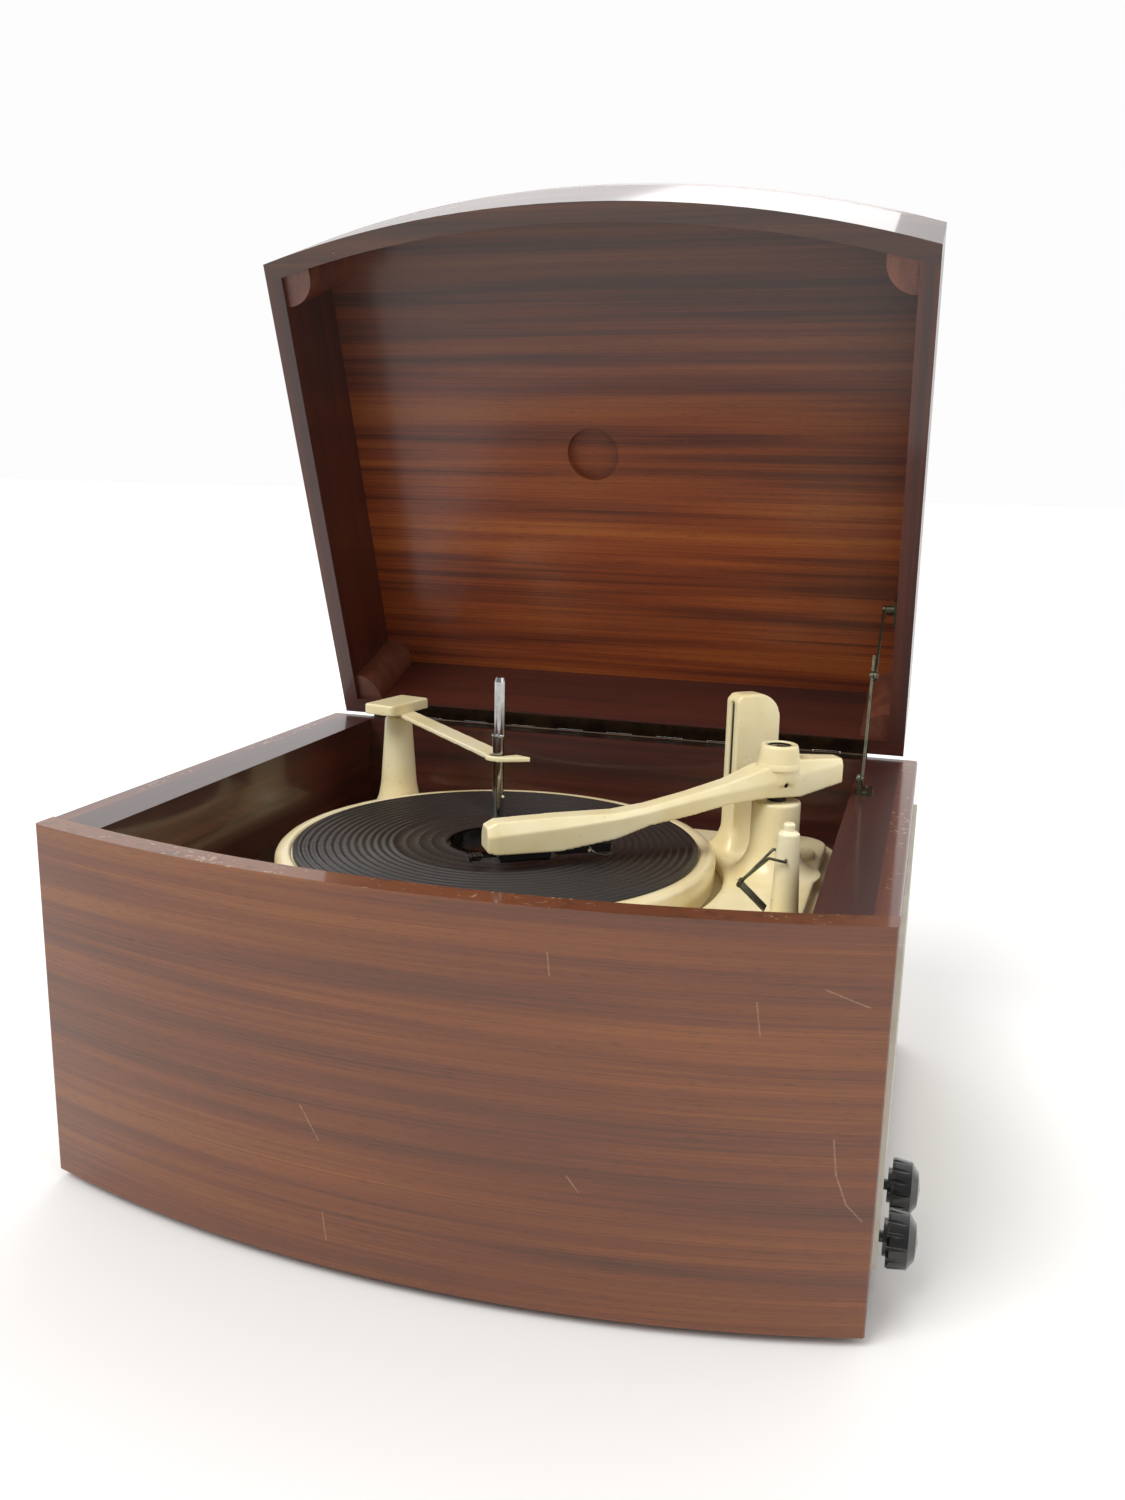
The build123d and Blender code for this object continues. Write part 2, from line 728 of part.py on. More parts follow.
rim_inner = platter_radius - 1 - platter_wall
idler_from_spindle = rim_inner - idler_radius - 0.3
idler_place = (spindle_x + idler_from_spindle * cos(radians(idler_angle)),
               spindle_y + idler_from_spindle * sin(radians(idler_angle)))
pulley_from_idler = idler_radius + pulley_radius + 0.3
pulley_place = (idler_place[0] + pulley_from_idler * cos(radians(pulley_angle)),
                idler_place[1] + pulley_from_idler * sin(radians(pulley_angle)))
idler_axle = 2.0
idler_top = platter_top - 11.0


def unit_springs():
    """Four spring cups between the plate and the board."""
    z1 = plate_z - plate_thick
    cup = turned([(0, board_top), (9, board_top), (7.5, z1), (0, z1)])
    xs = (-plate_left + spring_inset, plate_right - spring_inset)
    ys = (plate_front + spring_inset, plate_back - spring_inset)
    return Compound([Pos(x, y, 0) * cup for x in xs for y in ys])


def spindle():
    """The record spindle: a shaft, a ledge, an offset upper part and a domed tip."""
    lower = rod(0, 0, plate_z - 12, spindle_ledge, spindle_radius)
    upper = Pos(spindle_offset, 0, 0) * turned(
        [(0, spindle_ledge - 4), (spindle_radius, spindle_ledge), (spindle_radius, spindle_top - 4),
         (spindle_radius * 0.75, spindle_top - 1.2), (0, spindle_top)])
    slot = box(spindle_radius - 1.2, spindle_radius + 3, -0.7, 0.7, -2, spindle_ledge - 3)
    return at_spindle * (lower + upper - slot)


def spindle_latch():
    """The thin blade in the spindle's slot that lets one record down at a time."""
    blade = box(spindle_radius - 1.1, spindle_radius + 0.1, -0.55, 0.55, -1.7, spindle_ledge - 3.3)
    return at_spindle * blade


def bearing():
    """The boss round the spindle that carries the platter."""
    profile = [(spindle_radius + run_gap, plate_z), (bearing_radius + 6, plate_z),
               (bearing_radius + 6, plate_z + 3), (bearing_radius - 2.4, plate_z + 3),
               (bearing_radius - 2.4, hub_floor - 3), (spindle_radius + run_gap, hub_floor - 3)]
    return at_spindle * turned(profile)


def arm_base():
    """The moulded base of the pickup arm: an apron that follows the platter, the flared
    pillar and the tall grooved fin."""
    apron = rounded_plan(pivot_x - 48, plate_right - 5, 62, 300, plate_z, apron_top, 20)
    apron -= rod(spindle_x, spindle_y, plate_z - 1, apron_top + 1, platter_radius + 5)
    flare = [(0, apron_top - 1), (pillar_radius + 16, apron_top - 1)]
    for k in range(7):
        a = radians(15 * k)
        flare.append((pillar_radius + 16 * (1 - sin(a)), apron_top + 22 * (1 - cos(a))))
    flare += [(pillar_radius, pillar_top), (0, pillar_top)]
    body = apron + Pos(pivot_x, pivot_y, 0) * turned(flare)
    body += fin_frame * fin_blade()
    body -= rod(pivot_x, pivot_y, plate_z - 1, pillar_top + 1, yoke_radius + run_gap)
    body -= rod(adjuster_x, adjuster_y, apron_top, apron_top + adjuster_height + 2,
                adjuster_radius + run_gap)
    return body - rod(spindle_x, spindle_y, plate_z - 1, fin_top, platter_radius + 3)


fin_frame = Pos(fin_x, fin_y, 0) * Rot(0, 0, fin_angle)


def fin_blade():
    """The fin, along x in its own frame: round-shouldered, flared at the foot, grooved."""
    h = fin_length / 2
    side = Polyline((-h, 0, apron_top - 1), (-h, 0, fin_top - 4), (-h + 4, 0, fin_top),
                    (h - fin_round, 0, fin_top))
    side += ThreePointArc((h - fin_round, 0, fin_top),
                          (h - fin_round * (1 - cos(pi / 4)), 0, fin_top - fin_round * (1 - sin(pi / 4))),
                          (h, 0, fin_top - fin_round))
    side += Polyline((h, 0, fin_top - fin_round), (h, 0, apron_top - 1), (-h, 0, apron_top - 1))
    blade = extrude(make_face(side), fin_thick / 2, dir=(0, 1, 0), both=True)
    foot = loft([Pos(0, 0, z) * RectangleRounded(fin_length + 2 * g, fin_thick + 2 * g, 5)
                 for z, g in ((apron_top - 1, 8.0), (apron_top + 9, 2.6), (apron_top + 26, 0.1))])
    groove = box(-h - 1, -h + strip_depth, -strip_width / 2 - 0.2, strip_width / 2 + 0.2, -2,
                 fin_top - 5)
    return blade + foot - groove


def fin_strip():
    """The metal strip in the fin's groove."""
    h = fin_length / 2
    strip = box(-h + 1.2, -h + strip_depth, -strip_width / 2 + 0.4, strip_width / 2 - 0.4, -2,
                fin_top - 7)
    return fin_frame * strip


def rest_post():
    """The post beside the arm, with a stepped top and a cross hole for the bail."""
    profile = [(0, apron_top), (post_foot_radius, apron_top), (post_radius, post_top - 1.2),
               (post_radius - 1.2, post_top), (post_cap_radius, post_top),
               (post_cap_radius, post_cap_top - 1), (post_cap_radius - 1, post_cap_top),
               (0, post_cap_top)]
    post = Pos(post_x, post_y, 0) * turned(profile)
    return post - rod_y(post_x, post_y - 20, post_y + 20, bail_z, bail_wire + run_gap)


def arm_clip():
    """A wire bail through the post with a folded metal tongue at its end."""
    wire = []
    front = post_y - post_foot_radius - 0.6
    back = post_y + post_foot_radius + 0.6
    wire.append(rod_y(post_x, front, back, bail_z, bail_wire))
    reach = [(post_x, bail_z), (post_x - 9, bail_z + 1.2), (post_x - 25, bail_z - 17)]
    for y in (front, back):
        for (xa, za), (xb, zb), near, far in ((reach[0], reach[1], y, y), (
                reach[1], reach[2], y, post_y)):
            wire.append(wire_run((xa, near, za), (xb, far, zb)))
    bail = wire[0]
    for piece in wire[1:]:
        bail += piece
    x, z = reach[2]
    tongue = Pos(x, post_y, z) * Rot(0, 42, 0) * box(0, 20, -4.5, 4.5, -1.2, 0)
    hem = Pos(x, post_y, z) * rod_y(0, -4.5, 4.5, -0.3, 1.6)
    return bail + tongue + hem


def wire_run(a, b):
    """A straight run of the bail's wire with round ends."""
    start, end = Vector(*a), Vector(*b)
    run = Plane(origin=start, z_dir=end - start) * Pos(0, 0, (end - start).length / 2)
    run *= Cylinder(bail_wire, (end - start).length)
    return run + Pos(*a) * Sphere(bail_wire) + Pos(*b) * Sphere(bail_wire)


def adjuster_cap():
    """The low round cap on the apron behind the pillar."""
    cap = rod(adjuster_x, adjuster_y, apron_top, apron_top + adjuster_height, adjuster_radius)
    return fillet(cap.edges().sort_by(Axis.Z)[-1], 1.8)


def steady_post():
    """The flared post at the left rear that carries the overarm."""
    heights = ((plate_z, 23.0), (plate_z + 3, 22.0), (plate_z + 8, 18.0), (plate_z + 14, 15.3),
               (plate_z + 24, 13.4), (steady_post_top - 2, 10.0), (steady_post_top, 9.0))
    profile = [(steady_rod_radius + run_gap, plate_z)] + [(r, z) for z, r in heights]
    profile.append((steady_rod_radius + run_gap, steady_post_top))
    return Pos(steady_x, steady_y, 0) * turned(profile)


# changer: moving pieces

def platter():
    """The turned platter: a dished table with a deep skirt and a hub."""
    r = platter_radius
    z = platter_top
    low = z - platter_skirt
    profile = [(bearing_radius - 2.0, hub_floor), (mat_inner - 1, hub_floor),
               (mat_inner - 1, mat_seat), (mat_radius + 0.5, mat_seat), (mat_radius + 2, z),
               (r - platter_round, z), (r - 1.2, z - 1.2), (r, z - platter_round), (r - 1, low),
               (r - 1 - platter_wall, low), (r - 1 - platter_wall, z - 7), (mat_radius - 2, z - 5.5),
               (mat_inner + 3, z - 5.5), (mat_inner - 2, hub_floor - 3),
               (bearing_radius - 2.0, hub_floor - 3 + seat_gap)]
    profile[-1] = (spindle_radius + 0.1, hub_floor - 3 + seat_gap)
    profile[0] = (spindle_radius + 0.1, hub_floor)
    return at_spindle * turned(profile)


def platter_mat():
    """The rubber mat: a flat ring with raised concentric ribs."""
    base = mat_top - rib_height
    profile = [(mat_inner, mat_seat), (mat_radius, mat_seat), (mat_radius, base)]
    pitch = (mat_radius - mat_inner - 34) / rib_count
    for k in range(rib_count):
        outer = mat_radius - 4 - k * pitch
        profile += [(outer, base), (outer - 1.4, mat_top), (outer - 2.8, base)]
    profile += [(mat_inner, base)]
    return at_spindle * turned(profile)


def hub_cup():
    """The dark cup in the middle of the mat, with a raised rim."""
    outer = mat_inner - 1.2
    profile = [(spindle_radius + 0.8, hub_floor), (outer, hub_floor), (outer, mat_top),
               (outer - ring_width, mat_top), (outer - ring_width, hub_floor + 1),
               (spindle_radius + 0.8, hub_floor + 1)]
    return at_spindle * turned(profile)


def idler_wheel():
    """The rubber-tyred wheel between the motor and the platter's rim."""
    x, y = idler_place
    wheel = rod(x, y, idler_top - idler_thick, idler_top, idler_radius)
    wheel -= rod(x, y, idler_top - 1.2, idler_top + 1, idler_radius - 4)
    wheel -= rod(x, y, idler_top - idler_thick - 1, idler_top - idler_thick + 1.2, idler_radius - 4)
    return wheel + rod(x, y, plate_z - 5, idler_top + 1, idler_axle)


def motor_pulley():
    """The stepped brass pulley on the motor's shaft."""
    x, y = pulley_place
    low = idler_top - idler_thick - 1.5
    pulley = rod(x, y, low, idler_top + 1, pulley_radius)
    return pulley + rod(x, y, motor_top - 3, low, 2.0)


motor_top = plate_z - plate_skirt - 2.0


def motor():
    """The motor under the plate: a can between two bosses, on three pillars."""
    x, y = pulley_place
    can = rod(x, y, motor_top - motor_length, motor_top, motor_radius)
    can = fillet(can.edges(), 5)
    can += rod(x, y, motor_top - motor_length - 5, motor_top, 9)
    can -= rod(x, y, motor_top - motor_length - 6, motor_top + 1, 2.0 + run_gap)
    for k in range(3):
        a = radians(120 * k + 90)
        px = x + (motor_radius - 9) * cos(a)
        py = y + (motor_radius - 9) * sin(a)
        can += rod(px, py, motor_top - 2, plate_z - plate_thick, 3.5)
    return can


# Half width, underside, shoulder, crown and crown half width at places along the arm,
# each place as a share of its reach.
arm_stations = (
    (0.0, 8.6, -20.6, -11.4, -5.6, 5.0), (0.032, 10.0, -22.0, -10.2, -2.8, 6.0),
    (0.232, 10.0, -22.0, -7.6, -1.5, 6.2), (0.423, 9.4, -16.6, -4.0, -1.2, 6.2),
    (0.534, 8.4, -9.9, -1.2, 1.6, 6.0), (0.671, 7.8, -5.6, 3.9, 7.4, 5.8),
    (0.808, 8.8, 0.6, 8.4, 14.0, 6.8), (0.93, 12.0, 4.0, 13.4, 22.6, 9.6),
    (1.057, 12.4, 4.2, 18.6, 27.4, 9.8), (1.22, 7.6, 10.6, 22.6, 26.2, 5.8))


def arm_body(shrink, drop):
    """The arm's outer body, or its hollow when shrunk and dropped through the bottom."""
    first = arm_wall if shrink else 0.0
    last = arm_stations[-1][0] * arm_reach - first
    faces = []
    for share, half, under, shoulder, crown, top in arm_stations:
        s = min(max(share * arm_reach, first), last)
        w, t = half - shrink, top - shrink * 0.8
        c, h = crown - shrink, shoulder - shrink * 0.7
        ring = [(s, -w, under - drop), (s, w, under - drop), (s, w, h), (s, t, c), (s, -t, c),
                (s, -w, h)]
        faces.append(make_face(Polyline(*ring, close=True)))
    return loft(faces, ruled=True)


def pickup_arm():
    """The moulded arm: a hollow tapered shell, open below, with the boss over its pivot."""
    boss = [(0, 12), (boss_radius, 12), (boss_radius, 24), (boss_crown, boss_top - 0.8),
            (boss_crown - 0.8, boss_top), (0, boss_top)]
    shell = arm_body(0, 0) + turned_at(arm_reach, boss)
    shell -= arm_body(arm_wall, 2.0)
    shell -= Pos(arm_reach, 0, 0) * rod(0, 0, 2, boss_top + 1, boss_bore)
    shell -= rod_y(arm_reach, -20, 20, arm_pin_z, arm_pin_radius + run_gap)
    return at_arm * shell


def turned_at(s, points):
    """A turned piece standing at a place along the arm."""
    return Pos(s, 0, 0) * turned(points)


def arm_yoke():
    """The upright shaft in the pillar, its head and the cross pin that the arm rocks on."""
    shaft = rod(0, 0, plate_z - 6, pillar_top + 0.3, yoke_radius)
    head = rod(0, 0, pillar_top + 0.3, arm_pin_z + 8, boss_bore - 2.4)
    pin = rod_y(0, -11.4, 11.4, arm_pin_z, arm_pin_radius)
    collar = rod(0, 0, plate_z - 6, plate_z - plate_thick - 0.4, yoke_radius + 2.5)
    return Pos(pivot_x, pivot_y, 0) * Rot(0, 0, arm_angle) * (shaft + head + pin + collar)


def boss_cap():
    """The dark cap let into the boss."""
    cap = rod(0, 0, boss_top - 4.5, boss_top - 1.2, boss_bore - 0.02)
    return at_arm * (Pos(arm_reach, 0, 0) * cap)


def cartridge_holder():
    """The bracket in the head that carries the turnover shaft at both ends."""
    top = -5.6
    low = cartridge_z - 2.6
    near, far = cartridge_from - 2.2, cartridge_from + cartridge_length + 1
    frame = box(near, far + 1.2, -4.5, 4.5, top - 1.2, top)
    frame += box(near, near + 1.2, -4.0, 4.0, low, top)
    frame += box(far, far + 1.2, -4.0, 4.0, low, top)
    frame += box(near + 10, near + 16, -2.5, 2.5, top, top + 0.9)
    axle = Pos(0, 0, cartridge_z) * Rot(0, 90, 0) * Cylinder(1.0 + run_gap, 200)
    return at_arm * (frame - axle)


def cartridge():
    """The turnover cartridge on its shaft, with the small cross knob at the front."""
    end = cartridge_from + cartridge_length
    z = cartridge_z
    body = box(cartridge_from - 0.4, end + 0.4, -cartridge_width / 2, cartridge_width / 2,
               z - cartridge_height / 2, z + cartridge_height / 2)
    body = fillet(body.edges().filter_by(Axis.X), 2)
    shaft = rod_x(-9, end + 2.2, 0, z, 1.0)
    knob = rod_x(-10.5, -8.0, 0, z, 2.2) + box(-10.5, -8.5, -5.5, 5.5, z - 1.3, z + 1.3)
    return at_arm * (body + shaft + knob)


def styli():
    """Two opposed styli, each a fine rod with a pointed tip."""
    reach = cartridge_z - mat_top - stylus_gap
    pair = []
    for turn in (0, 180):
        tip = turned([(0, -reach), (0.55, -reach + 1.2), (0.55, -cartridge_height / 2), (
            0, -cartridge_height / 2)])
        pair.append(at_arm * Pos(cartridge_from + 7, 0, cartridge_z) * Rot(turn, 0, 0) * tip)
    return Compound(pair)


def finger_lift():
    """The wire loop under the near edge of the head for lifting the arm."""
    loop = Torus(8.0, 0.7) & box(-12, 12, -12, 0, -2, 2)
    return at_arm * Pos(0.37 * arm_reach, -10.7, -19.5) * Rot(28, 0, 0) * loop


def speed_knob():
    """The speed knob at the front corner of the plate."""
    profile = [(0, plate_z + 1), (speed_radius, plate_z + 1),
               (speed_radius - 1, plate_z + speed_height - 2),
               (speed_radius - 3, plate_z + speed_height), (0, plate_z + speed_height)]
    pointer = box(-2, 2, 0, speed_radius + 3, plate_z + 1, plate_z + 6)
    stem = rod(0, 0, plate_z - 7, plate_z + 1, 3.5)
    return Pos(speed_x, speed_y, 0) * (turned(profile) + pointer + stem)


def overarm_rod():
    """The rod that slides in the post, up into the overarm's cap."""
    return rod(steady_x, steady_y, plate_z - 4, steady_z + steady_thick + 2, steady_rod_radius)


steady_reach = hypot(spindle_x - steady_x, spindle_y - steady_y)
steady_angle = degrees(atan2(spindle_y - steady_y, spindle_x - steady_x))


def overarm():
    """The flat overarm: a bar with a hub, a hook open at the back and a pointed tip."""
    half = steady_width / 2
    z1 = steady_z + steady_thick
    bar = rounded_plan(-steady_root, steady_reach, -half, half, steady_z, z1, 4)
    bar += rod(steady_reach, 0, steady_z, z1, half + hook_lip)
    beak = Polyline((steady_reach - 2, -half, 0), (steady_reach + 9, -5, 0),
                    (steady_reach + 16, 15, 0), (steady_reach + 4, 10, 0),
                    (steady_reach - 2, -half, 0))
    bar += Pos(0, 0, steady_z) * extrude(make_face(beak), steady_thick)
    bar += rod(0, 0, steady_post_top + 0.3, steady_z, 8)
    bar -= rod(steady_reach, 0, steady_z - 1, z1 + 1, hook_bore)
    bar -= box(steady_reach - hook_bore, steady_reach - hook_bore + hook_slot, 0, 30,
               steady_z - 1, z1 + 1)
    width, length, height = steady_cap
    cap = rounded_plan(-0.42 * width, 0.58 * width, -0.6 * length, 0.4 * length, z1 - 0.5,
                       z1 + height, 3)
    cap = fillet(cap.edges().group_by(Axis.Z)[-1], 1.5)
    bar += Rot(0, 0, -12 - steady_angle) * cap
    bar -= rod(0, 0, steady_post_top, z1 + 2 + run_gap, steady_rod_radius + run_gap)
    return Pos(steady_x, steady_y, 0) * Rot(0, 0, steady_angle) * bar


fixed_pieces = {
    "cabinet_front": cabinet_front, "back_rail": back_rail, "back_cover": back_cover,
    "mains_gland": mains_gland, "base_board": base_board, "rubber_feet": rubber_feet,
    "motor_board": motor_board, "board_cleats": board_cleats, "back_screws": back_screws,
    "amplifier_chassis": amplifier_chassis, "valves": valves, "transformers": transformers,
    "hinge_cabinet_leaf": hinge_cabinet_leaf, "hinge_pin": hinge_pin,
    "stay_cabinet_bracket": stay_cabinet_bracket, "unit_plate": unit_plate,
    "unit_springs": unit_springs, "spindle": spindle, "spindle_latch": spindle_latch,
    "bearing": bearing, "arm_base": arm_base, "fin_strip": fin_strip, "rest_post": rest_post,
    "adjuster_cap": adjuster_cap, "steady_post": steady_post, "motor": motor,
}
moving_pieces = {
    "stay_lower_link": stay_lower_link, "stay_upper_link": stay_upper_link,
    "platter": platter, "platter_mat": platter_mat, "hub_cup": hub_cup,
    "idler_wheel": idler_wheel, "motor_pulley": motor_pulley, "pickup_arm": pickup_arm,
    "arm_yoke": arm_yoke, "boss_cap": boss_cap, "cartridge_holder": cartridge_holder,
    "cartridge": cartridge, "styli": styli, "finger_lift": finger_lift, "arm_clip": arm_clip,
    "speed_knob": speed_knob, "overarm_rod": overarm_rod, "overarm": overarm,
}
lid_pieces = {
    "lid_top": lid_top, "lid_front": lid_front, "lid_back": lid_back,
    "lid_corner_blocks": lid_corner_blocks, "hinge_lid_leaf": hinge_lid_leaf,
    "stay_lid_bracket": stay_lid_bracket,
}
paired_pieces = {
    "cabinet_sides": cabinet_side, "rim_boards": rim_board, "well_linings": well_lining,
    "grilles": grille, "speaker_frames": speaker_frame, "speaker_cones": speaker_cone,
}


def build():
    """Builds every piece and writes it."""
    os.makedirs("parts", exist_ok=True)
    for name, make in {**fixed_pieces, **moving_pieces}.items():
        write(make(), name)
    for name, make in lid_pieces.items():
        write(to_open * make(), name)
    write(to_open * Compound([lid_side(side) for side in (-1, 1)]), "lid_sides")
    for name, make in paired_pieces.items():
        write(Compound([make(side) for side in (-1, 1)]), name)
    write(Compound([potentiometer(y) for y in knob_y]), "potentiometers")
    for y, name in zip(knob_y, ("volume_knob", "tone_knob")):
        write(fluted_knob(y), name)


build()
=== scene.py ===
import math
import bpy
from mathutils import Matrix, Vector


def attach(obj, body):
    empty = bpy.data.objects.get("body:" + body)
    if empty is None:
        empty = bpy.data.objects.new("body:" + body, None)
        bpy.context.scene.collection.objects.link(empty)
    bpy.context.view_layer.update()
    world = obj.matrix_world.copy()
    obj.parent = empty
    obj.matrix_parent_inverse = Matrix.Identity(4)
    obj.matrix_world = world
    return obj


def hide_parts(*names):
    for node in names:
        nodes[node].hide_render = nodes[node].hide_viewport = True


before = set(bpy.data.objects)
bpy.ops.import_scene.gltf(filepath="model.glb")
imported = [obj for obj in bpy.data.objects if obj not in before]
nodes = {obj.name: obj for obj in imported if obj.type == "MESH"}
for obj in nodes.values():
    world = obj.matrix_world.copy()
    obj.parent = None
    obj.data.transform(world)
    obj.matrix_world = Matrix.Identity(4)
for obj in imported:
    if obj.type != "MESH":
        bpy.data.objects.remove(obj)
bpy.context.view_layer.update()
print("frame loaded")

# Places are given in cabinet millimetres: x from the middle, y back from the front corners,
# z up from the rim. This shift takes them to the part's frame.
originShift = (-9.75, -202.953, 220)


def at(x, y, z):
    return Vector([(value + shift) / 1000 for value, shift in zip((x, y, z), originShift)])


def linearColour(code):
    parts = [int(code[k:k + 2], 16) / 255 for k in (1, 3, 5)]
    return [p / 12.92 if p <= 0.04045 else ((p + 0.055) / 1.055) ** 2.4 for p in parts] + [1.0]


# Noise scale on Object coordinates for a pattern of this size in millimetres.
def scaleFor(sizeMm):
    return 1000 / sizeMm


def newMaterial(name, baseHex, roughness, **shader):
    material = bpy.data.materials.new(name)
    material.use_nodes = True
    surface = material.node_tree.nodes["Principled BSDF"]
    surface.inputs["Base Color"].default_value = linearColour(baseHex)
    surface.inputs["Roughness"].default_value = roughness
    for socket, value in shader.items():
        surface.inputs[socket.replace("_", " ")].default_value = value
    return material, surface


# Adds one node; a value that is a socket is linked, any other is set. A colour ramp's stops
# are (place, hex) or (place, grey level).
def addNode(owner, kind, inputs=(), output=0, stops=(), **settings):
    node = owner.node_tree.nodes.new(kind)
    for key, value in settings.items():
        setattr(node, key, value)
    for key, value in dict(inputs).items():
        if isinstance(value, bpy.types.NodeSocket):
            owner.node_tree.links.new(value, node.inputs[key])
        else:
            node.inputs[key].default_value = value
    if stops:
        elements = node.color_ramp.elements
        while len(elements) < len(stops):
            elements.new(0.5)
        for element, (place, code) in zip(elements, stops):
            element.position = place
            element.color = linearColour(code) if isinstance(code, str) else [code] * 3 + [1]
    return node.outputs[output]


def linkTo(owner, socket, target):
    owner.node_tree.links.new(socket, target)


# Mahogany veneer, cut for its ribbon figure and sprayed with gloss lacquer: long level bands
# of light and dark under a clear sheen. Each pattern has its length and height in millimetres
# and the offset its noise is read at.
wood = {
    "band": (420, 9, 3.1),
    "streak": (190, 0.9, 7.7),
    "cloud": (300, 70, 1.3),
    "pore": (8, 0.34, 5.0),      # drawn coarser than real pores, which wouldn't show
    "ripple": (60, 12, 2.2),     # unevenness of the lacquer
    "bandShare": 0.42,
    "streakShare": 0.3,
    "cloudShare": 0.14,
    "coatWeight": 0.6,
    "bareHex": "#a98b6d",        # where the lacquer is gone
    "lidOpen": 71,               # degrees that the open lid turns its grain
}


def lacqueredMahogany(name, grain, dark, middle, light, coatRoughness=0.06, bands=1.0,
                      marks=(), shade=None):
    material, surface = newMaterial(name, middle, 0.5, Coat_Weight=wood["coatWeight"],
                                    Coat_Roughness=coatRoughness, Coat_IOR=1.5)
    place = addNode(material, "ShaderNodeTexCoord", output="Object")
    if grain == "lidDepth":
        turn = (math.radians(wood["lidOpen"]), 0, 0)
        place = addNode(material, "ShaderNodeMapping", {"Vector": place, "Rotation": turn})
    along = {"x": 0, "y": 1, "lidDepth": 1, "z": 2}[grain]

    def stretched(pattern):
        length, height, offset = wood[pattern]
        scale = [scaleFor(height)] * 3
        scale[along] = scaleFor(length)
        if grain == "x":          # so the bands run level round the bow
            scale[1] = scaleFor(length)
        return addNode(material, "ShaderNodeMapping",
                       {"Vector": place, "Scale": scale,
                        "Location": (offset, offset * 1.7, offset * 0.6)})

    band = addNode(material, "ShaderNodeTexNoise",
                   {"Vector": stretched("band"), "Scale": 1.0, "Detail": 2.5,
                    "Roughness": 0.5, "Distortion": 0.25})
    streak = addNode(material, "ShaderNodeTexNoise",
                     {"Vector": stretched("streak"), "Scale": 1.0, "Detail": 4.0,
                      "Roughness": 0.6, "Distortion": 0.15})
    cloud = addNode(material, "ShaderNodeTexNoise",
                    {"Vector": stretched("cloud"), "Scale": 1.0, "Detail": 2.0})
    tone = addNode(material, "ShaderNodeMath", {0: band, 1: wood["bandShare"] * bands},
                   operation="MULTIPLY")
    tone = addNode(material, "ShaderNodeMath", {0: streak, 1: wood["streakShare"], 2: tone},
                   operation="MULTIPLY_ADD")
    tone = addNode(material, "ShaderNodeMath", {0: cloud, 1: wood["cloudShare"], 2: tone},
                   operation="MULTIPLY_ADD")
    usual = (wood["bandShare"] * bands + wood["streakShare"] + wood["cloudShare"]) / 2
    colour = addNode(material, "ShaderNodeValToRGB", {"Fac": tone},
                     stops=[(usual - 0.12, dark), (usual, middle), (usual + 0.11, light)])
    pore = addNode(material, "ShaderNodeTexNoise",
                   {"Vector": stretched("pore"), "Scale": 1.0, "Detail": 1.0})
    pits = addNode(material, "ShaderNodeValToRGB", {"Fac": pore},
                   stops=[(0.30, 0.62), (0.42, 1.0)])
    colour = addNode(material, "ShaderNodeMix", {0: 1.0, 6: colour, 7: pits}, output=2,
                     data_type="RGBA", blend_type="MULTIPLY")
    # Painted shade, where one is given, darkens the colour.
    if shade:
        colour = addNode(material, "ShaderNodeMix",
                         {0: 1.0, 6: colour, 7: shade(material, place)}, output=2,
                         data_type="RGBA", blend_type="MULTIPLY")
    bare = linearColour(wood["bareHex"])
    for mark in marks:
        colour = addNode(material, "ShaderNodeMix",
                         {0: mark(material, place), 6: colour, 7: bare}, output=2,
                         data_type="RGBA")
    linkTo(material, colour, surface.inputs["Base Color"])
    ripple = addNode(material, "ShaderNodeTexNoise",
                     {"Vector": stretched("ripple"), "Scale": 1.0, "Detail": 2.0})
    bump = addNode(material, "ShaderNodeBump", {"Strength": 0.05, "Distance": 0.0006,
                                                "Height": ripple})
    linkTo(material, bump, surface.inputs["Coat Normal"])
    return material


chips = {
    "patchMm": 41.67,            # how far apart the worn stretches lie
    "grainMm": 3.846,
    "edgeShare": 0.3,
    "patchShare": 0.45,
    "starts": 1.16,
    "softness": 0.04,
    "strength": 0.7,
}


# Sparse chips in the lacquer near a level edge, whose height and their reach are in metres.
def chipsAt(height, reach, amount):
    def mask(material, place):
        up = addNode(material, "ShaderNodeSeparateXYZ", {"Vector": place}, output="Z")
        off = addNode(material, "ShaderNodeMath", {0: up, 1: height}, operation="SUBTRACT")
        off = addNode(material, "ShaderNodeMath", {0: off}, operation="ABSOLUTE")
        near = addNode(material, "ShaderNodeMapRange", {"Value": off, "From Min": 0.0,
                                                        "From Max": reach, "To Min": 1.0,
                                                        "To Max": 0.0})
        patch = addNode(material, "ShaderNodeTexNoise",
                        {"Vector": place, "Scale": scaleFor(chips["patchMm"]), "Detail": 2.0})
        grain = addNode(material, "ShaderNodeTexNoise",
                        {"Vector": place, "Scale": scaleFor(chips["grainMm"]), "Detail": 4.0,
                         "Roughness": 0.6})
        total = addNode(material, "ShaderNodeMath", {0: near, 1: chips["edgeShare"], 2: grain},
                        operation="MULTIPLY_ADD")
        total = addNode(material, "ShaderNodeMath", {0: patch, 1: chips["patchShare"], 2: total},
                        operation="MULTIPLY_ADD")
        starts = chips["starts"] - amount
        return addNode(material, "ShaderNodeMapRange",
                       {"Value": total, "From Min": starts,
                        "From Max": starts + chips["softness"], "To Max": chips["strength"]})
    return mask


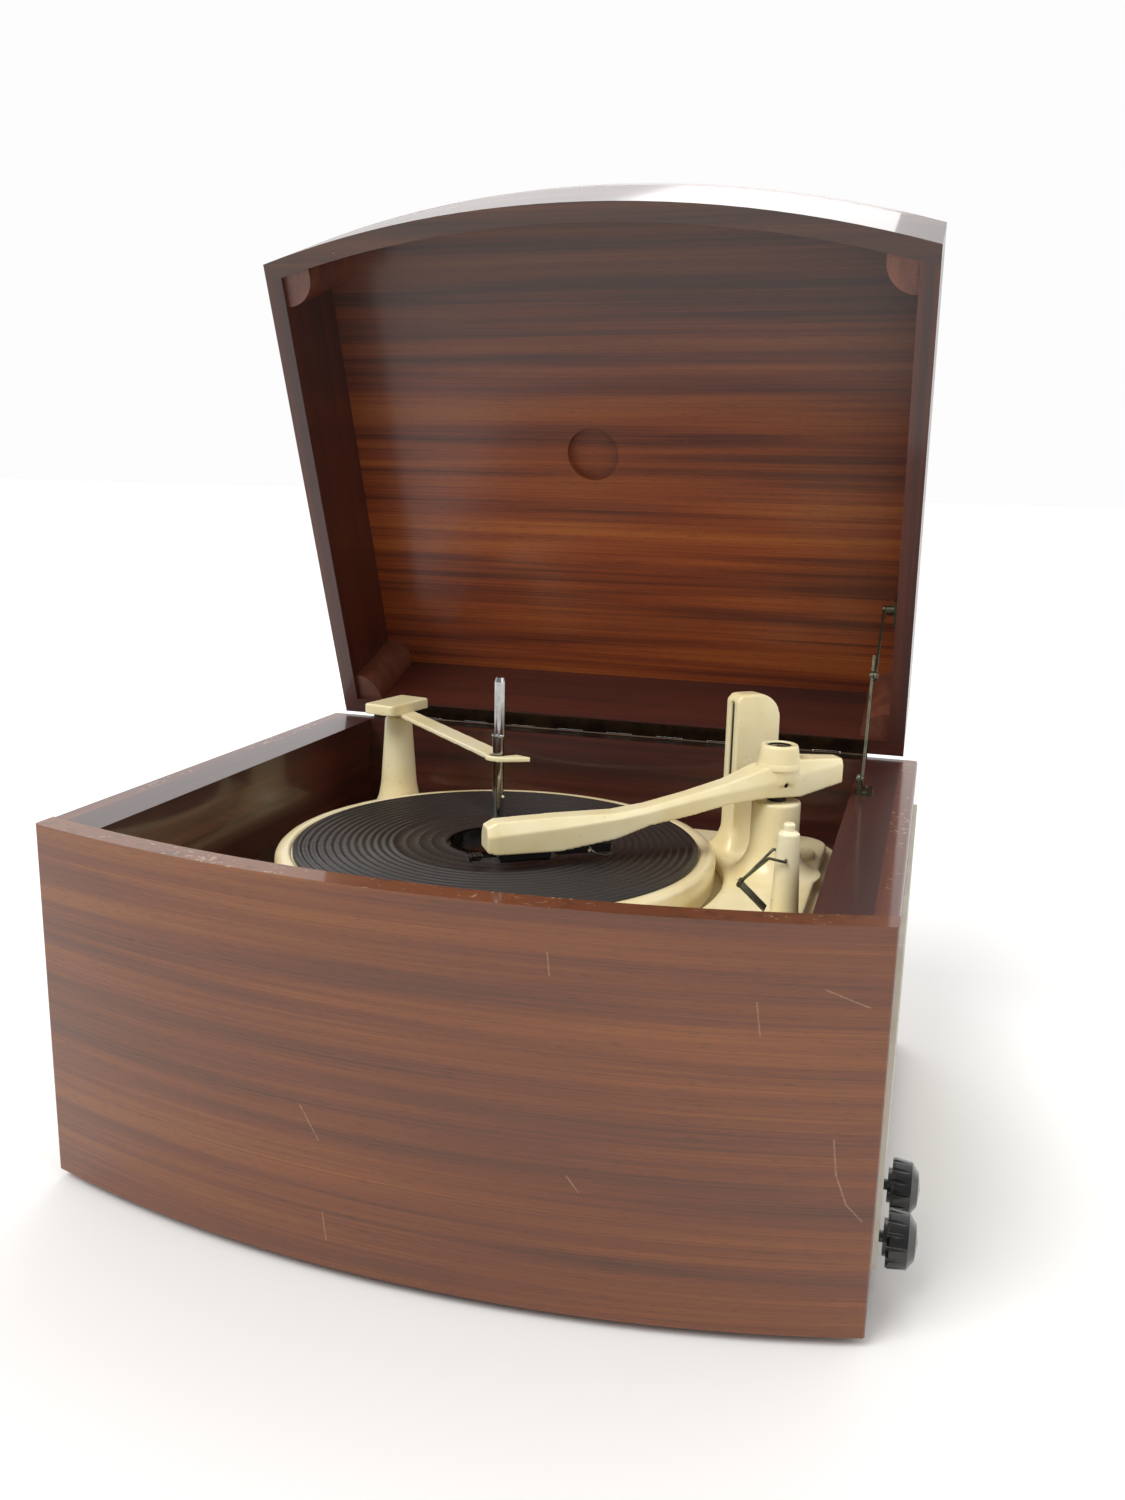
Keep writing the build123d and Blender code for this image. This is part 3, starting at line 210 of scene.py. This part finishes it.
# The scratches on the front, each between two places as (x, z), in metres.
scratches = {
    "runs": [((0.2038, 0.1129), (0.2059, 0.0946)), ((0.2059, 0.0946), (0.2116, 0.0789)),
             ((0.2116, 0.0789), (0.2196, 0.0701)), ((-0.052, 0.0379), (-0.050, 0.0219)),
             ((0.0676, 0.1981), (0.0688, 0.1867)), ((0.0793, 0.0829), (0.0854, 0.0750)),
             ((0.1650, 0.1806), (0.1672, 0.1643)), ((-0.0637, 0.0967), (-0.0534, 0.0791)),
             ((0.1952, 0.1886), (0.2152, 0.1804))],
    "width": 0.0006,
    "softEdge": 0.0005,
    "wobble": 0.0011,
    "wobbleMm": 1.4286,
    "strength": 0.4,
}


def scratchAt(start, end):
    def mask(material, place):
        run = Vector((end[0] - start[0], 0, end[1] - start[1]))
        fromStart = addNode(material, "ShaderNodeVectorMath",
                            {0: place, 1: (start[0], 0, start[1])}, operation="SUBTRACT")
        share = addNode(material, "ShaderNodeVectorMath",
                        {0: fromStart, 1: run / run.length_squared}, output="Value",
                        operation="DOT_PRODUCT")
        share = addNode(material, "ShaderNodeClamp", {"Value": share})
        reached = addNode(material, "ShaderNodeVectorMath", {0: run, "Scale": share},
                          operation="SCALE")
        off = addNode(material, "ShaderNodeVectorMath", {0: fromStart, 1: reached},
                      operation="SUBTRACT")
        off = addNode(material, "ShaderNodeVectorMath", {0: off, 1: (1, 0, 1)},
                      operation="MULTIPLY")
        off = addNode(material, "ShaderNodeVectorMath", {0: off}, output="Value",
                      operation="LENGTH")
        rough = addNode(material, "ShaderNodeTexNoise",
                        {"Vector": place, "Scale": scaleFor(scratches["wobbleMm"])})
        off = addNode(material, "ShaderNodeMath", {0: rough, 1: scratches["wobble"], 2: off},
                      operation="MULTIPLY_ADD")
        return addNode(material, "ShaderNodeMapRange",
                       {"Value": off, "From Min": scratches["width"],
                        "From Max": scratches["width"] + scratches["softEdge"],
                        "To Min": scratches["strength"], "To Max": 0.0})
    return mask


# Painted shade: wood colour darkened from one height, in metres, to another, standing in for
# shade that falls there.
def paintedShadeBetween(low, high, least):
    def shade(material, place):
        up = addNode(material, "ShaderNodeSeparateXYZ", {"Vector": place}, output="Z")
        share = addNode(material, "ShaderNodeMapRange",
                        {"Value": up, "From Min": low, "From Max": high, "To Min": 1.0,
                         "To Max": least})
        return addNode(material, "ShaderNodeCombineColor", {0: share, 1: share, 2: share})
    return shade


rimHeight = 0.220                # metres above the floor
# The front is faded to a plain brown, scratched, and chipped along its rim.
frontWood = lacqueredMahogany(
    "Lacquered mahogany front", "x", "#4a2206", "#6b3307", "#834a10", bands=0.8,
    marks=[chipsAt(height=rimHeight, reach=0.0025, amount=0.0)]
    + [scratchAt(start, end) for start, end in scratches["runs"]])
# The sides keep more of their red.
sideWood = lacqueredMahogany("Lacquered mahogany side", "y", "#3d1708", "#5e260a", "#753a10",
                             marks=[chipsAt(height=rimHeight, reach=0.002, amount=0.0)])
# The rim, the rail and the linings are stained nearly black-red, so the figure hardly shows.
rimWood = lacqueredMahogany("Dark lacquered mahogany rim", "y", "#280d08", "#3a130b", "#471b0f",
                            coatRoughness=0.09)
railWood = lacqueredMahogany("Dark lacquered mahogany rail", "x", "#2c0f08", "#421609", "#53210f",
                             coatRoughness=0.1)
wellWood = lacqueredMahogany("Lacquered mahogany lining", "y", "#2e0f08", "#47190b", "#5b2710",
                             coatRoughness=0.1)
# The lid's panel glows orange between its bands; towards its top it is darkened by painted shade,
# standing in for the shadow the lid's front casts on its upper inside.
panelWood = lacqueredMahogany("Ribbon mahogany lid panel", "x", "#5c220b", "#934214", "#ab5a1e",
                              coatRoughness=0.2, bands=1.35,
                              shade=paintedShadeBetween(low=0.36, high=0.56, least=0.3))
# The board under the changer, and the blocks in the lid's corners, are plain and duller.
boardWood = lacqueredMahogany("Stained mahogany board", "x", "#2c0f08", "#421809", "#55220e",
                              coatRoughness=0.25)
blockWood = lacqueredMahogany("Plain mahogany blocks", "z", "#4a2113", "#673522", "#7a4630",
                              coatRoughness=0.3)
# The lid's bowed front and its sides are brown-black, with a clear sheen.
lidFrontWood = lacqueredMahogany("Lacquered mahogany lid front", "x", "#2a120a", "#43200f",
                                 "#583017",
                                 marks=[chipsAt(height=0.56, reach=0.002, amount=-0.05)])
lidSideWood = lacqueredMahogany("Lacquered mahogany lid side", "lidDepth", "#2a100a", "#45190c",
                                "#592612", coatRoughness=0.12)


# Birch plywood as sawn: pale tan, matt, with a faint long grain.
plywood = {"grainMm": (111.1, 6.25, 6.25)}


def birchPlywood():
    material, surface = newMaterial("Birch plywood", "#8d6a45", 0.75)
    place = addNode(material, "ShaderNodeTexCoord", output="Object")
    scale = [scaleFor(size) for size in plywood["grainMm"]]
    stretch = addNode(material, "ShaderNodeMapping", {"Vector": place, "Scale": scale})
    grain = addNode(material, "ShaderNodeTexNoise", {"Vector": stretch, "Scale": 1.0,
                                                     "Detail": 5.0, "Distortion": 0.4})
    colour = addNode(material, "ShaderNodeValToRGB", {"Fac": grain},
                     stops=[(0.3, "#74532f"), (0.7, "#9c7850")])
    linkTo(material, colour, surface.inputs["Base Color"])
    return material


# Cream enamel and mouldings: warm ivory, yellowed unevenly, a soft gloss, faint grime.
cream = {
    "mottleMm": 38.46,
    "grimeMm": 3.226,
    "rippleMm": 18.18,
    "coatRoughness": 0.1,
}


def creamFinish(name, shade, middle, light, roughness, coat):
    material, surface = newMaterial(name, middle, roughness, Coat_Weight=coat,
                                    Coat_Roughness=cream["coatRoughness"])
    place = addNode(material, "ShaderNodeTexCoord", output="Object")
    mottle = addNode(material, "ShaderNodeTexNoise",
                     {"Vector": place, "Scale": scaleFor(cream["mottleMm"]), "Detail": 3.0,
                      "Roughness": 0.55})
    colour = addNode(material, "ShaderNodeValToRGB", {"Fac": mottle},
                     stops=[(0.28, shade), (0.52, middle), (0.75, light)])
    grime = addNode(material, "ShaderNodeTexNoise",
                    {"Vector": place, "Scale": scaleFor(cream["grimeMm"]), "Detail": 1.0})
    specks = addNode(material, "ShaderNodeValToRGB", {"Fac": grime},
                     stops=[(0.2, 0.72), (0.26, 1.0)])
    colour = addNode(material, "ShaderNodeMix", {0: 1.0, 6: colour, 7: specks}, output=2,
                     data_type="RGBA", blend_type="MULTIPLY")
    linkTo(material, colour, surface.inputs["Base Color"])
    ripple = addNode(material, "ShaderNodeTexNoise",
                     {"Vector": place, "Scale": scaleFor(cream["rippleMm"]), "Detail": 2.0})
    bump = addNode(material, "ShaderNodeBump", {"Strength": 0.06, "Distance": 0.0005,
                                                "Height": ripple})
    linkTo(material, bump, surface.inputs["Normal"])
    return material


# Enamel baked on steel is the glossiest; urea is paler and softer, and polystyrene greyer.
enamel = creamFinish("Cream stoved enamel", "#f0dca4", "#f9e8ba", "#fcf0cb", 0.32, 0.5)
urea = creamFinish("Cream moulded urea", "#f6e4ac", "#fef0c2", "#fff6d2", 0.36, 0.4)
grillePlastic = creamFinish("Pale moulded polystyrene", "#cfc8b4", "#dcd6c4", "#e6e1d2",
                            0.45, 0.1)


# Rubber, bakelite and paper: near black, told apart by their sheen.
def darkFinish(name, base, roughness, spread, grainMm, **shader):
    material, surface = newMaterial(name, base, roughness, **shader)
    place = addNode(material, "ShaderNodeTexCoord", output="Object")
    noise = addNode(material, "ShaderNodeTexNoise",
                    {"Vector": place, "Scale": scaleFor(grainMm), "Detail": 4.0})
    rough = addNode(material, "ShaderNodeMapRange",
                    {"Value": noise, "From Min": 0.3, "From Max": 0.7,
                     "To Min": roughness - spread, "To Max": roughness + spread})
    linkTo(material, rough, surface.inputs["Roughness"])
    bump = addNode(material, "ShaderNodeBump", {"Strength": 0.12, "Distance": 0.0003,
                                                "Height": noise})
    linkTo(material, bump, surface.inputs["Normal"])
    return material


# Their grain is drawn a few millimetres across, coarser than the real one, so that it shows.
matRubber = darkFinish("Moulded mat rubber", "#332e2b", 0.4, 0.08, 3.333)
conePaper = darkFinish("Felted cone paper", "#2a2420", 0.9, 0.05, 2.0)
bakelite = darkFinish("Black bakelite", "#0f0d0c", 0.22, 0.06, 8.333, Coat_Weight=0.4)
footRubber = darkFinish("Black rubber", "#1b1a19", 0.6, 0.1, 5.0)


# Plated and painted metals, dulled in patches of this size.
def metalFinish(name, base, worn, metallic, roughness, spread, patchMm=11.11):
    material, surface = newMaterial(name, base, roughness, Metallic=metallic)
    place = addNode(material, "ShaderNodeTexCoord", output="Object")
    noise = addNode(material, "ShaderNodeTexNoise",
                    {"Vector": place, "Scale": scaleFor(patchMm), "Detail": 5.0,
                     "Roughness": 0.65})
    colour = addNode(material, "ShaderNodeValToRGB", {"Fac": noise},
                     stops=[(0.42, base), (0.62, worn)])
    linkTo(material, colour, surface.inputs["Base Color"])
    rough = addNode(material, "ShaderNodeMapRange",
                    {"Value": noise, "From Min": 0.3, "From Max": 0.7,
                     "To Min": roughness - spread, "To Max": roughness + spread})
    linkTo(material, rough, surface.inputs["Roughness"])
    return material


# Chrome mirrors the room; nickel has gone olive and wire brown; the rest is plain and dull.
chrome = metalFinish("Polished chrome", "#b9b9b9", "#a09e9a", 1.0, 0.12, 0.05)
nickel = metalFinish("Tarnished nickel", "#6f6f5c", "#4b4a3b", 1.0, 0.36, 0.1)
darkWire = metalFinish("Dulled steel wire", "#4a453e", "#332f2a", 1.0, 0.35, 0.08)
bronzed = metalFinish("Bronzed steel", "#2c201a", "#463626", 0.8, 0.4, 0.1, patchMm=16.67)
zinc = metalFinish("Zinc plated steel", "#a5a59e", "#8a8a80", 1.0, 0.35, 0.1)
greySteel = metalFinish("Grey painted steel", "#63666a", "#55585b", 0.2, 0.5, 0.08)
turnedBrass = metalFinish("Turned brass", "#c09a52", "#a07c3c", 1.0, 0.28, 0.08)

# Blown glass: clear, and greyer where it is dusty.
glass = {"clear": 0.9, "index": 1.5, "cloudMm": 33.33}
valveGlass, glassSurface = newMaterial("Valve glass", "#dfe6e8", 0.03,
                                       Transmission_Weight=glass["clear"], IOR=glass["index"])
glassPlace = addNode(valveGlass, "ShaderNodeTexCoord", output="Object")
glassClouds = addNode(valveGlass, "ShaderNodeTexNoise",
                      {"Vector": glassPlace, "Scale": scaleFor(glass["cloudMm"])})
glassColour = addNode(valveGlass, "ShaderNodeValToRGB", {"Fac": glassClouds},
                      stops=[(0.3, "#cfd6d8"), (0.7, "#eef2f3")])
linkTo(valveGlass, glassColour, glassSurface.inputs["Base Color"])

finishes = {
    "cabinet_front": frontWood, "cabinet_sides": sideWood, "rim_boards": rimWood,
    "well_linings": wellWood, "back_rail": railWood, "back_cover": birchPlywood(),
    "back_screws": turnedBrass, "motor_board": boardWood, "grilles": grillePlastic,
    "speaker_frames": greySteel, "speaker_cones": conePaper, "rubber_feet": footRubber,
    "mains_gland": footRubber, "hinge_cabinet_leaf": bronzed, "hinge_pin": zinc,
    "stay_cabinet_bracket": nickel, "amplifier_chassis": zinc, "transformers": greySteel,
    "valves": valveGlass, "potentiometers": zinc, "unit_plate": enamel, "unit_springs": zinc,
    "spindle": chrome, "spindle_latch": darkWire, "bearing": zinc, "arm_base": urea,
    "fin_strip": nickel, "rest_post": urea, "adjuster_cap": urea, "steady_post": urea,
    "motor": greySteel, "lid_top": panelWood, "lid_front": lidFrontWood,
    "lid_sides": lidSideWood, "lid_back": railWood, "lid_corner_blocks": blockWood,
    "hinge_lid_leaf": bronzed, "stay_lid_bracket": nickel, "stay_lower_link": nickel,
    "stay_upper_link": nickel, "platter": enamel, "platter_mat": matRubber, "hub_cup": bakelite,
    "idler_wheel": footRubber, "motor_pulley": turnedBrass, "arm_yoke": darkWire,
    "pickup_arm": urea, "boss_cap": bakelite, "cartridge_holder": zinc,
    "finger_lift": darkWire, "cartridge": bakelite, "styli": zinc, "arm_clip": nickel,
    "speed_knob": urea, "volume_knob": bakelite, "tone_knob": bakelite,
    "overarm_rod": nickel, "overarm": urea,
}
finishes["base_board"] = finishes["back_cover"]
finishes["board_cleats"] = finishes["back_cover"]
for name, material in finishes.items():
    nodes[name].data.materials.clear()
    nodes[name].data.materials.append(material)
print("finishes set")


def onlySelect(piece):
    bpy.ops.object.select_all(action="DESELECT")
    piece.select_set(True)
    bpy.context.view_layer.objects.active = piece


# Gives a finished piece its place, body and material.
def settle(piece, body, material, angle=40):
    onlySelect(piece)
    for modifier in list(piece.modifiers):
        bpy.ops.object.modifier_apply(modifier=modifier.name)
    bpy.ops.object.transform_apply(location=True, rotation=True, scale=True)
    bpy.ops.object.shade_smooth_by_angle(angle=math.radians(angle))
    piece.data.materials.clear()
    piece.data.materials.append(material)
    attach(piece, body)


# A copy of a piece under its own name, with its own mesh.
def copied(piece, name):
    twin = bpy.data.objects.new(name, piece.data.copy())
    bpy.context.scene.collection.objects.link(twin)
    return twin


# The moulded pieces: a fine even skin over the solid, its corners run together as a mould
# leaves them. The grid is the skin's cell in metres, and the rounds are those of smoothing.
moulded = {
    "arm_base": {"name": "mouldedArmBase", "grid": 0.00105, "rounds": 14, "body": "cabinet"},
    "steady_post": {"name": "mouldedSteadyPost", "grid": 0.0008, "rounds": 16, "body": "cabinet"},
    "rest_post": {"name": "mouldedRestPost", "grid": 0.0004, "rounds": 6, "body": "cabinet"},
    "pickup_arm": {"name": "mouldedArm", "grid": 0.00068, "rounds": 9, "body": "arm"},
    "overarm": {"name": "mouldedOverarm", "grid": 0.0005, "rounds": 5, "body": "steady"},
    "speed_knob": {"name": "mouldedSpeedKnob", "grid": 0.0006, "rounds": 6, "body": "speed"},
}
for node, about in moulded.items():
    piece = copied(nodes[node], about["name"])
    onlySelect(piece)
    bpy.ops.object.mode_set(mode="EDIT")
    bpy.ops.mesh.select_all(action="SELECT")
    bpy.ops.mesh.remove_doubles(threshold=0.00001)
    bpy.ops.object.mode_set(mode="OBJECT")
    skin = piece.modifiers.new("skin", "REMESH")
    skin.mode = "VOXEL"
    skin.voxel_size = about["grid"]
    soft = piece.modifiers.new("soft", "SMOOTH")
    soft.factor = 0.5
    soft.iterations = about["rounds"]
    settle(piece, about["body"], urea, 60)
    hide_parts(node)
    print(about["name"], len(piece.data.polygons))


# Starts a piece from a primitive and leaves it in edit mode, all selected.
def startPiece(name, primitive, **settings):
    bpy.ops.object.select_all(action="DESELECT")
    primitive(**settings)
    piece = bpy.context.object
    piece.name = name
    bpy.ops.object.mode_set(mode="EDIT")
    bpy.ops.mesh.select_all(action="SELECT")
    return piece


# A turned piece: a ring drawn up and out through its profile of (radius, height).
def turnedPiece(name, about):
    x, y = about["place"]
    radius, height = about["profile"][0]
    piece = startPiece(name, bpy.ops.mesh.primitive_circle_add, vertices=about["sides"],
                       radius=radius / 1000, location=at(x, y, height))
    for nextRadius, nextHeight in about["profile"][1:]:
        bpy.ops.mesh.extrude_edges_move(
            TRANSFORM_OT_translate={"value": (0, 0, (nextHeight - height) / 1000)})
        bpy.ops.transform.resize(value=(nextRadius / radius, nextRadius / radius, 1),
                                 center_override=at(x, y, nextHeight))
        radius, height = nextRadius, nextHeight
    bpy.ops.mesh.select_all(action="SELECT")
    bpy.ops.mesh.remove_doubles(threshold=0.000005)
    bpy.ops.mesh.normals_make_consistent(inside=False)
    bpy.ops.object.mode_set(mode="OBJECT")
    return piece


spindlePlace = (-18, 163)
# The platter: a dished table with a rolled rim and a deep skirt.
dish = {
    "place": spindlePlace,
    "sides": 192,
    "profile": [(3.7, -42), (29, -42), (33, -38.6), (126.4, -38.6), (136.4, -40), (136.5, -53),
                (137.3, -53.3), (138.4, -53), (138.6, -52), (139.0, -46), (139.4, -38.5),
                (139.2, -36.6), (138.5, -35), (137.2, -33.8), (135.6, -33.2), (133.6, -33),
                (131.2, -33.1), (130, -33.6), (129.3, -35), (30.6, -35), (30.4, -39),
                (3.7, -39), (3.7, -42)],
}
platterDish = turnedPiece("platterDish", dish)
settle(platterDish, "turntable", enamel, 50)
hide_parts("platter")

# The mat: rounded ribs in its outer half, shallow rings further in, a bead round its hole.
mat = {
    "place": spindlePlace,
    "sides": 224,
    "profile": [(31.5, -35), (128.4, -35), (128.4, -32.9), (127.9, -32.4)],
    "top": -32.4,
    "ribCount": 13,
    "firstRib": 124.5,
    "ribPitch": 4.85,
    "ribHalf": 1.5,
    "ribHeight": 0.9,
    "ribRound": ((1.0, 0.0), (0.72, 0.62), (0.3, 0.96), (-0.3, 0.96), (-0.72, 0.62),
                 (-1.0, 0.0)),
    "rings": (58, 50, 42),
    "ringHalf": 0.7,
    "ringHeight": 0.35,
    "bead": [(34.5, -32.4), (33.8, -31.9), (32.2, -31.9), (31.5, -32.5), (31.5, -35)],
}
for k in range(mat["ribCount"]):
    middle = mat["firstRib"] - k * mat["ribPitch"]
    for across, up in mat["ribRound"]:
        mat["profile"].append((middle + across * mat["ribHalf"],
                               mat["top"] + up * mat["ribHeight"]))
for radius in mat["rings"]:
    mat["profile"] += [(radius + mat["ringHalf"], mat["top"]),
                       (radius, mat["top"] + mat["ringHeight"]),
                       (radius - mat["ringHalf"], mat["top"])]
mat["profile"] += mat["bead"]
ribbedMat = turnedPiece("ribbedMat", mat)
settle(ribbedMat, "turntable", matRubber, 70)
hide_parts("platter_mat")

# The metal lip of the dark cup round the spindle.
lip = {
    "place": spindlePlace,
    "sides": 128,
    "profile": [(28.0, -32.2), (29.9, -32.2), (30.3, -31.9), (30.3, -31.6), (29.9, -31.5),
                (28.3, -31.5), (28.0, -31.7), (28.0, -32.2)],
}
settle(turnedPiece("cupLip", lip), "turntable", darkWire)

# The spindle's drop shoulder.
shoulder = {
    "place": (-17.9, 163),
    "sides": 48,
    "profile": [(3.4, 35.6), (4.1, 35.8), (4.35, 36.3), (4.35, 37.2), (4.1, 37.7), (3.4, 37.9),
                (3.4, 35.6)],
}
settle(turnedPiece("spindleShoulder", shoulder), "cabinet", chrome)

# The small bead at the foot of the spindle's slot.
bead = {
    "place": (-14.3, 162.2),
    "sides": 24,
    "profile": [(0.05, -3.6), (0.62, -3.4), (0.95, -2.9), (0.95, -2.3), (0.62, -1.8),
                (0.05, -1.6)],
}
settle(turnedPiece("slotBead", bead), "cabinet", urea)

# Where the arm turns, how far it is swung at rest in degrees, and its length in metres.
arm = {"turret": (152, 211), "swung": 33.7, "length": 0.1893}

# The turret on the arm: a tapered ring round the dark cap.
turret = {
    "place": arm["turret"],
    "sides": 96,
    "profile": [(8.3, 33.8), (8.3, 35.6), (8.7, 36.0), (10.6, 36.05), (11.3, 35.7),
                (11.6, 35.0), (12.0, 32), (12.9, 27.0), (13.5, 24.6), (14.3, 23.2), (14.3, 21),
                (11, 21), (11, 33.6), (8.3, 33.8)],
}
settle(turnedPiece("armTurretRing", turret), "arm", urea, 50)

# The thin metal ring round the cap itself.
capRing = {
    "place": arm["turret"],
    "sides": 64,
    "profile": [(6.9, 34.7), (7.4, 34.7), (7.5, 35.2), (7.2, 35.4), (6.9, 35.2), (6.9, 34.7)],
}
settle(turnedPiece("turretCapRing", capRing), "arm", darkWire)
print("turned pieces made")


# Things along the arm are made on the x axis from its front, then swung into place.
def swingToArm(piece):
    onlySelect(piece)
    angle = math.radians(arm["swung"])
    piece.rotation_euler = (0, 0, angle)
    turn = Matrix.Rotation(angle, 3, "Z")
    piece.location = at(*arm["turret"], 0) - turn @ Vector((arm["length"], 0, 0))
    bpy.ops.object.transform_apply(location=True, rotation=True, scale=True)


# The dark carrier behind the cartridge, its edges bevelled; millimetres.
carrier = {"from": 43, "to": 78, "half": 4.4, "low": -25.6, "high": -15.0, "bevel": 1.2}
carrierPiece = startPiece("cartridgeCarrier", bpy.ops.mesh.primitive_cube_add, size=1)
bpy.ops.transform.resize(value=((carrier["to"] - carrier["from"]) / 1000,
                                carrier["half"] * 2 / 1000,
                                (carrier["high"] - carrier["low"]) / 1000))
bpy.ops.transform.translate(value=((carrier["to"] + carrier["from"]) / 2000, 0,
                                   (carrier["high"] + carrier["low"]) / 2000))
bpy.ops.mesh.bevel(offset=carrier["bevel"] / 1000, segments=3, affect="EDGES")
bpy.ops.object.mode_set(mode="OBJECT")
swingToArm(carrierPiece)
settle(carrierPiece, "arm", bakelite)

# The coil between the turnover knob and the head, leaning back with the head; millimetres.
coil = {"turns": 5, "from": -7.2, "pitch": 1.15, "radius": 2.3, "wire": 0.42, "height": -24.5,
        "lean": 11}
firstTurn = startPiece("turnoverCoil", bpy.ops.mesh.primitive_torus_add,
                       major_radius=coil["radius"] / 1000, minor_radius=coil["wire"] / 1000,
                       major_segments=28, minor_segments=8)
bpy.ops.transform.rotate(value=math.radians(90 - coil["lean"]), orient_axis="Y",
                         center_override=(0, 0, 0))
bpy.ops.transform.translate(value=(coil["from"] / 1000, 0, coil["height"] / 1000))
bpy.ops.object.mode_set(mode="OBJECT")
moreTurns = [copied(firstTurn, "coilTurn" + str(k)) for k in range(1, coil["turns"])]
onlySelect(firstTurn)
for k, turn in enumerate(moreTurns, 1):
    turn.location.x = k * coil["pitch"] / 1000
    turn.select_set(True)
bpy.ops.object.join()
swingToArm(firstTurn)
settle(firstTurn, "pickup", darkWire, 80)

# The white dot that marks the side of the head.
dot = {"radius": 0.001, "flat": 0.5, "at": (0.064, -0.0046, -0.0238)}
dotPiece = startPiece("needleDot", bpy.ops.mesh.primitive_uv_sphere_add, segments=16,
                      ring_count=10, radius=dot["radius"])
bpy.ops.transform.resize(value=(1.0, dot["flat"], 1.0))
bpy.ops.transform.translate(value=dot["at"])
bpy.ops.object.mode_set(mode="OBJECT")
swingToArm(dotPiece)
settle(dotPiece, "arm", urea)

# Slotted screws with a low dome, all upright; millimetres.
screw = {"radius": 2.1, "height": 0.6, "rim": 0.5, "dome": 0.5, "slotInset": 0.7,
         "slotWidth": 0.3, "slotDepth": 0.5}
screwSets = {
    "bracketScrew": {"scale": 0.8, "places": [(203.6, 244.4, 1.55), (203.6, 259.6, 1.55)]},
    "plateScrew": {"scale": 1.3, "places": [(-146, 34, -55.9), (-150, 150, -55.9),
                                            (60, 24, -55.9)]},
}


def slottedScrew(name, scale):
    piece = startPiece(name, bpy.ops.mesh.primitive_cylinder_add, vertices=24,
                       radius=screw["radius"] * scale / 1000, depth=screw["height"] / 1000)
    bpy.ops.mesh.select_mode(type="FACE")
    bpy.ops.mesh.select_all(action="DESELECT")
    bpy.ops.object.mode_set(mode="OBJECT")
    for face in piece.data.polygons:
        face.select = face.normal.z > 0.9
    bpy.ops.object.mode_set(mode="EDIT")
    bpy.ops.mesh.inset(thickness=screw["rim"] * scale / 1000)
    bpy.ops.transform.translate(value=(0, 0, screw["dome"] * scale / 1000))
    bpy.ops.mesh.inset(thickness=screw["slotInset"] * scale / 1000)
    bpy.ops.transform.resize(value=(1.0, screw["slotWidth"], 1.0))
    bpy.ops.mesh.extrude_region_move(
        TRANSFORM_OT_translate={"value": (0, 0, -screw["slotDepth"] / 1000)})
    bpy.ops.object.mode_set(mode="OBJECT")
    return piece


for kind, about in screwSets.items():
    first = slottedScrew(kind + "0", about["scale"])
    more = [copied(first, kind + str(k)) for k in range(1, len(about["places"]))]
    for piece, place in zip([first] + more, about["places"]):
        piece.location = at(*place)
        settle(piece, "cabinet", nickel)
print("small pieces made")

# The floor, the lights and the camera, in metres.
studio = {
    "floorSize": 60,
    "aim": (0, 0, 0.2),
    "darkSide": (-0.4, 0.36),    # y of the direction looked in, and the room's grey there
    "lightSide": (0.35, 0.98),
}
bpy.ops.object.select_all(action="DESELECT")
bpy.ops.mesh.primitive_plane_add(size=studio["floorSize"], location=(0, 0, 0))
floor = bpy.context.object
floor.name = "floor"
floorPaper, floorSurface = newMaterial("Pale studio paper", "#f6f5f3", 0.8)
floor.data.materials.append(floorPaper)

lamps = {
    "sun": {"kind": "SUN", "at": (-0.55, -0.75, 1.35), "power": 1.9, "angle": 32},
    "fill": {"kind": "AREA", "at": (1.7, -1.0, 1.5), "power": 9, "size": 1.3},
    "back": {"kind": "AREA", "at": (-0.4, 1.6, 2.2), "power": 16, "size": 1.6},
}
for name, lamp in lamps.items():
    light = bpy.data.lights.new(name, lamp["kind"])
    light.energy = lamp["power"]
    if "angle" in lamp:
        light.angle = math.radians(lamp["angle"])
    else:
        light.size = lamp["size"]
    holder = bpy.data.objects.new(name, light)
    bpy.context.scene.collection.objects.link(holder)
    holder.location = lamp["at"]
    holder.rotation_mode = "QUATERNION"
    aim = Vector(studio["aim"]) - holder.location
    holder.rotation_quaternion = aim.to_track_quat("-Z", "Y")

# A room that is darker in front of the object than behind it.
world = bpy.data.worlds.new("Studio")
bpy.context.scene.world = world
world.use_nodes = True
backdrop = world.node_tree.nodes["Background"]
backdrop.inputs["Strength"].default_value = 1.0
direction = addNode(world, "ShaderNodeTexCoord", output="Generated")
backwards = addNode(world, "ShaderNodeSeparateXYZ", {"Vector": direction}, output="Y")
share = addNode(world, "ShaderNodeMapRange",
                {"Value": backwards, "From Min": studio["darkSide"][0],
                 "From Max": studio["lightSide"][0]})
roomGrey = addNode(world, "ShaderNodeValToRGB", {"Fac": share},
                   stops=[(0.0, studio["darkSide"][1]), (1.0, studio["lightSide"][1])])
linkTo(world, roomGrey, backdrop.inputs["Color"])

# The camera fitted to the photograph: place and axes in the part's frame.
camera = {
    "at": (0.22955, -0.75515, 0.4163),
    "right": (0.95603, 0.29245, 0.02189),
    "down": (0.08369, -0.20053, -0.97611),
    "forward": (-0.28108, 0.93502, -0.21619),
    "focalPixels": 1233.1,
    "pixelsHigh": 1500,
    "sensorMm": 36,
}
lens = bpy.data.cameras.new("camera")
lens.sensor_width = camera["sensorMm"]
lens.lens = camera["focalPixels"] / camera["pixelsHigh"] * camera["sensorMm"]
eye = bpy.data.objects.new("camera", lens)
bpy.context.scene.collection.objects.link(eye)
axes = Matrix((camera["right"], [-a for a in camera["down"]],
               [-a for a in camera["forward"]])).transposed()
eye.matrix_world = Matrix.Translation(camera["at"]) @ axes.to_4x4()
bpy.context.scene.camera = eye
bpy.context.scene.view_settings.view_transform = "Standard"
print("stage set")
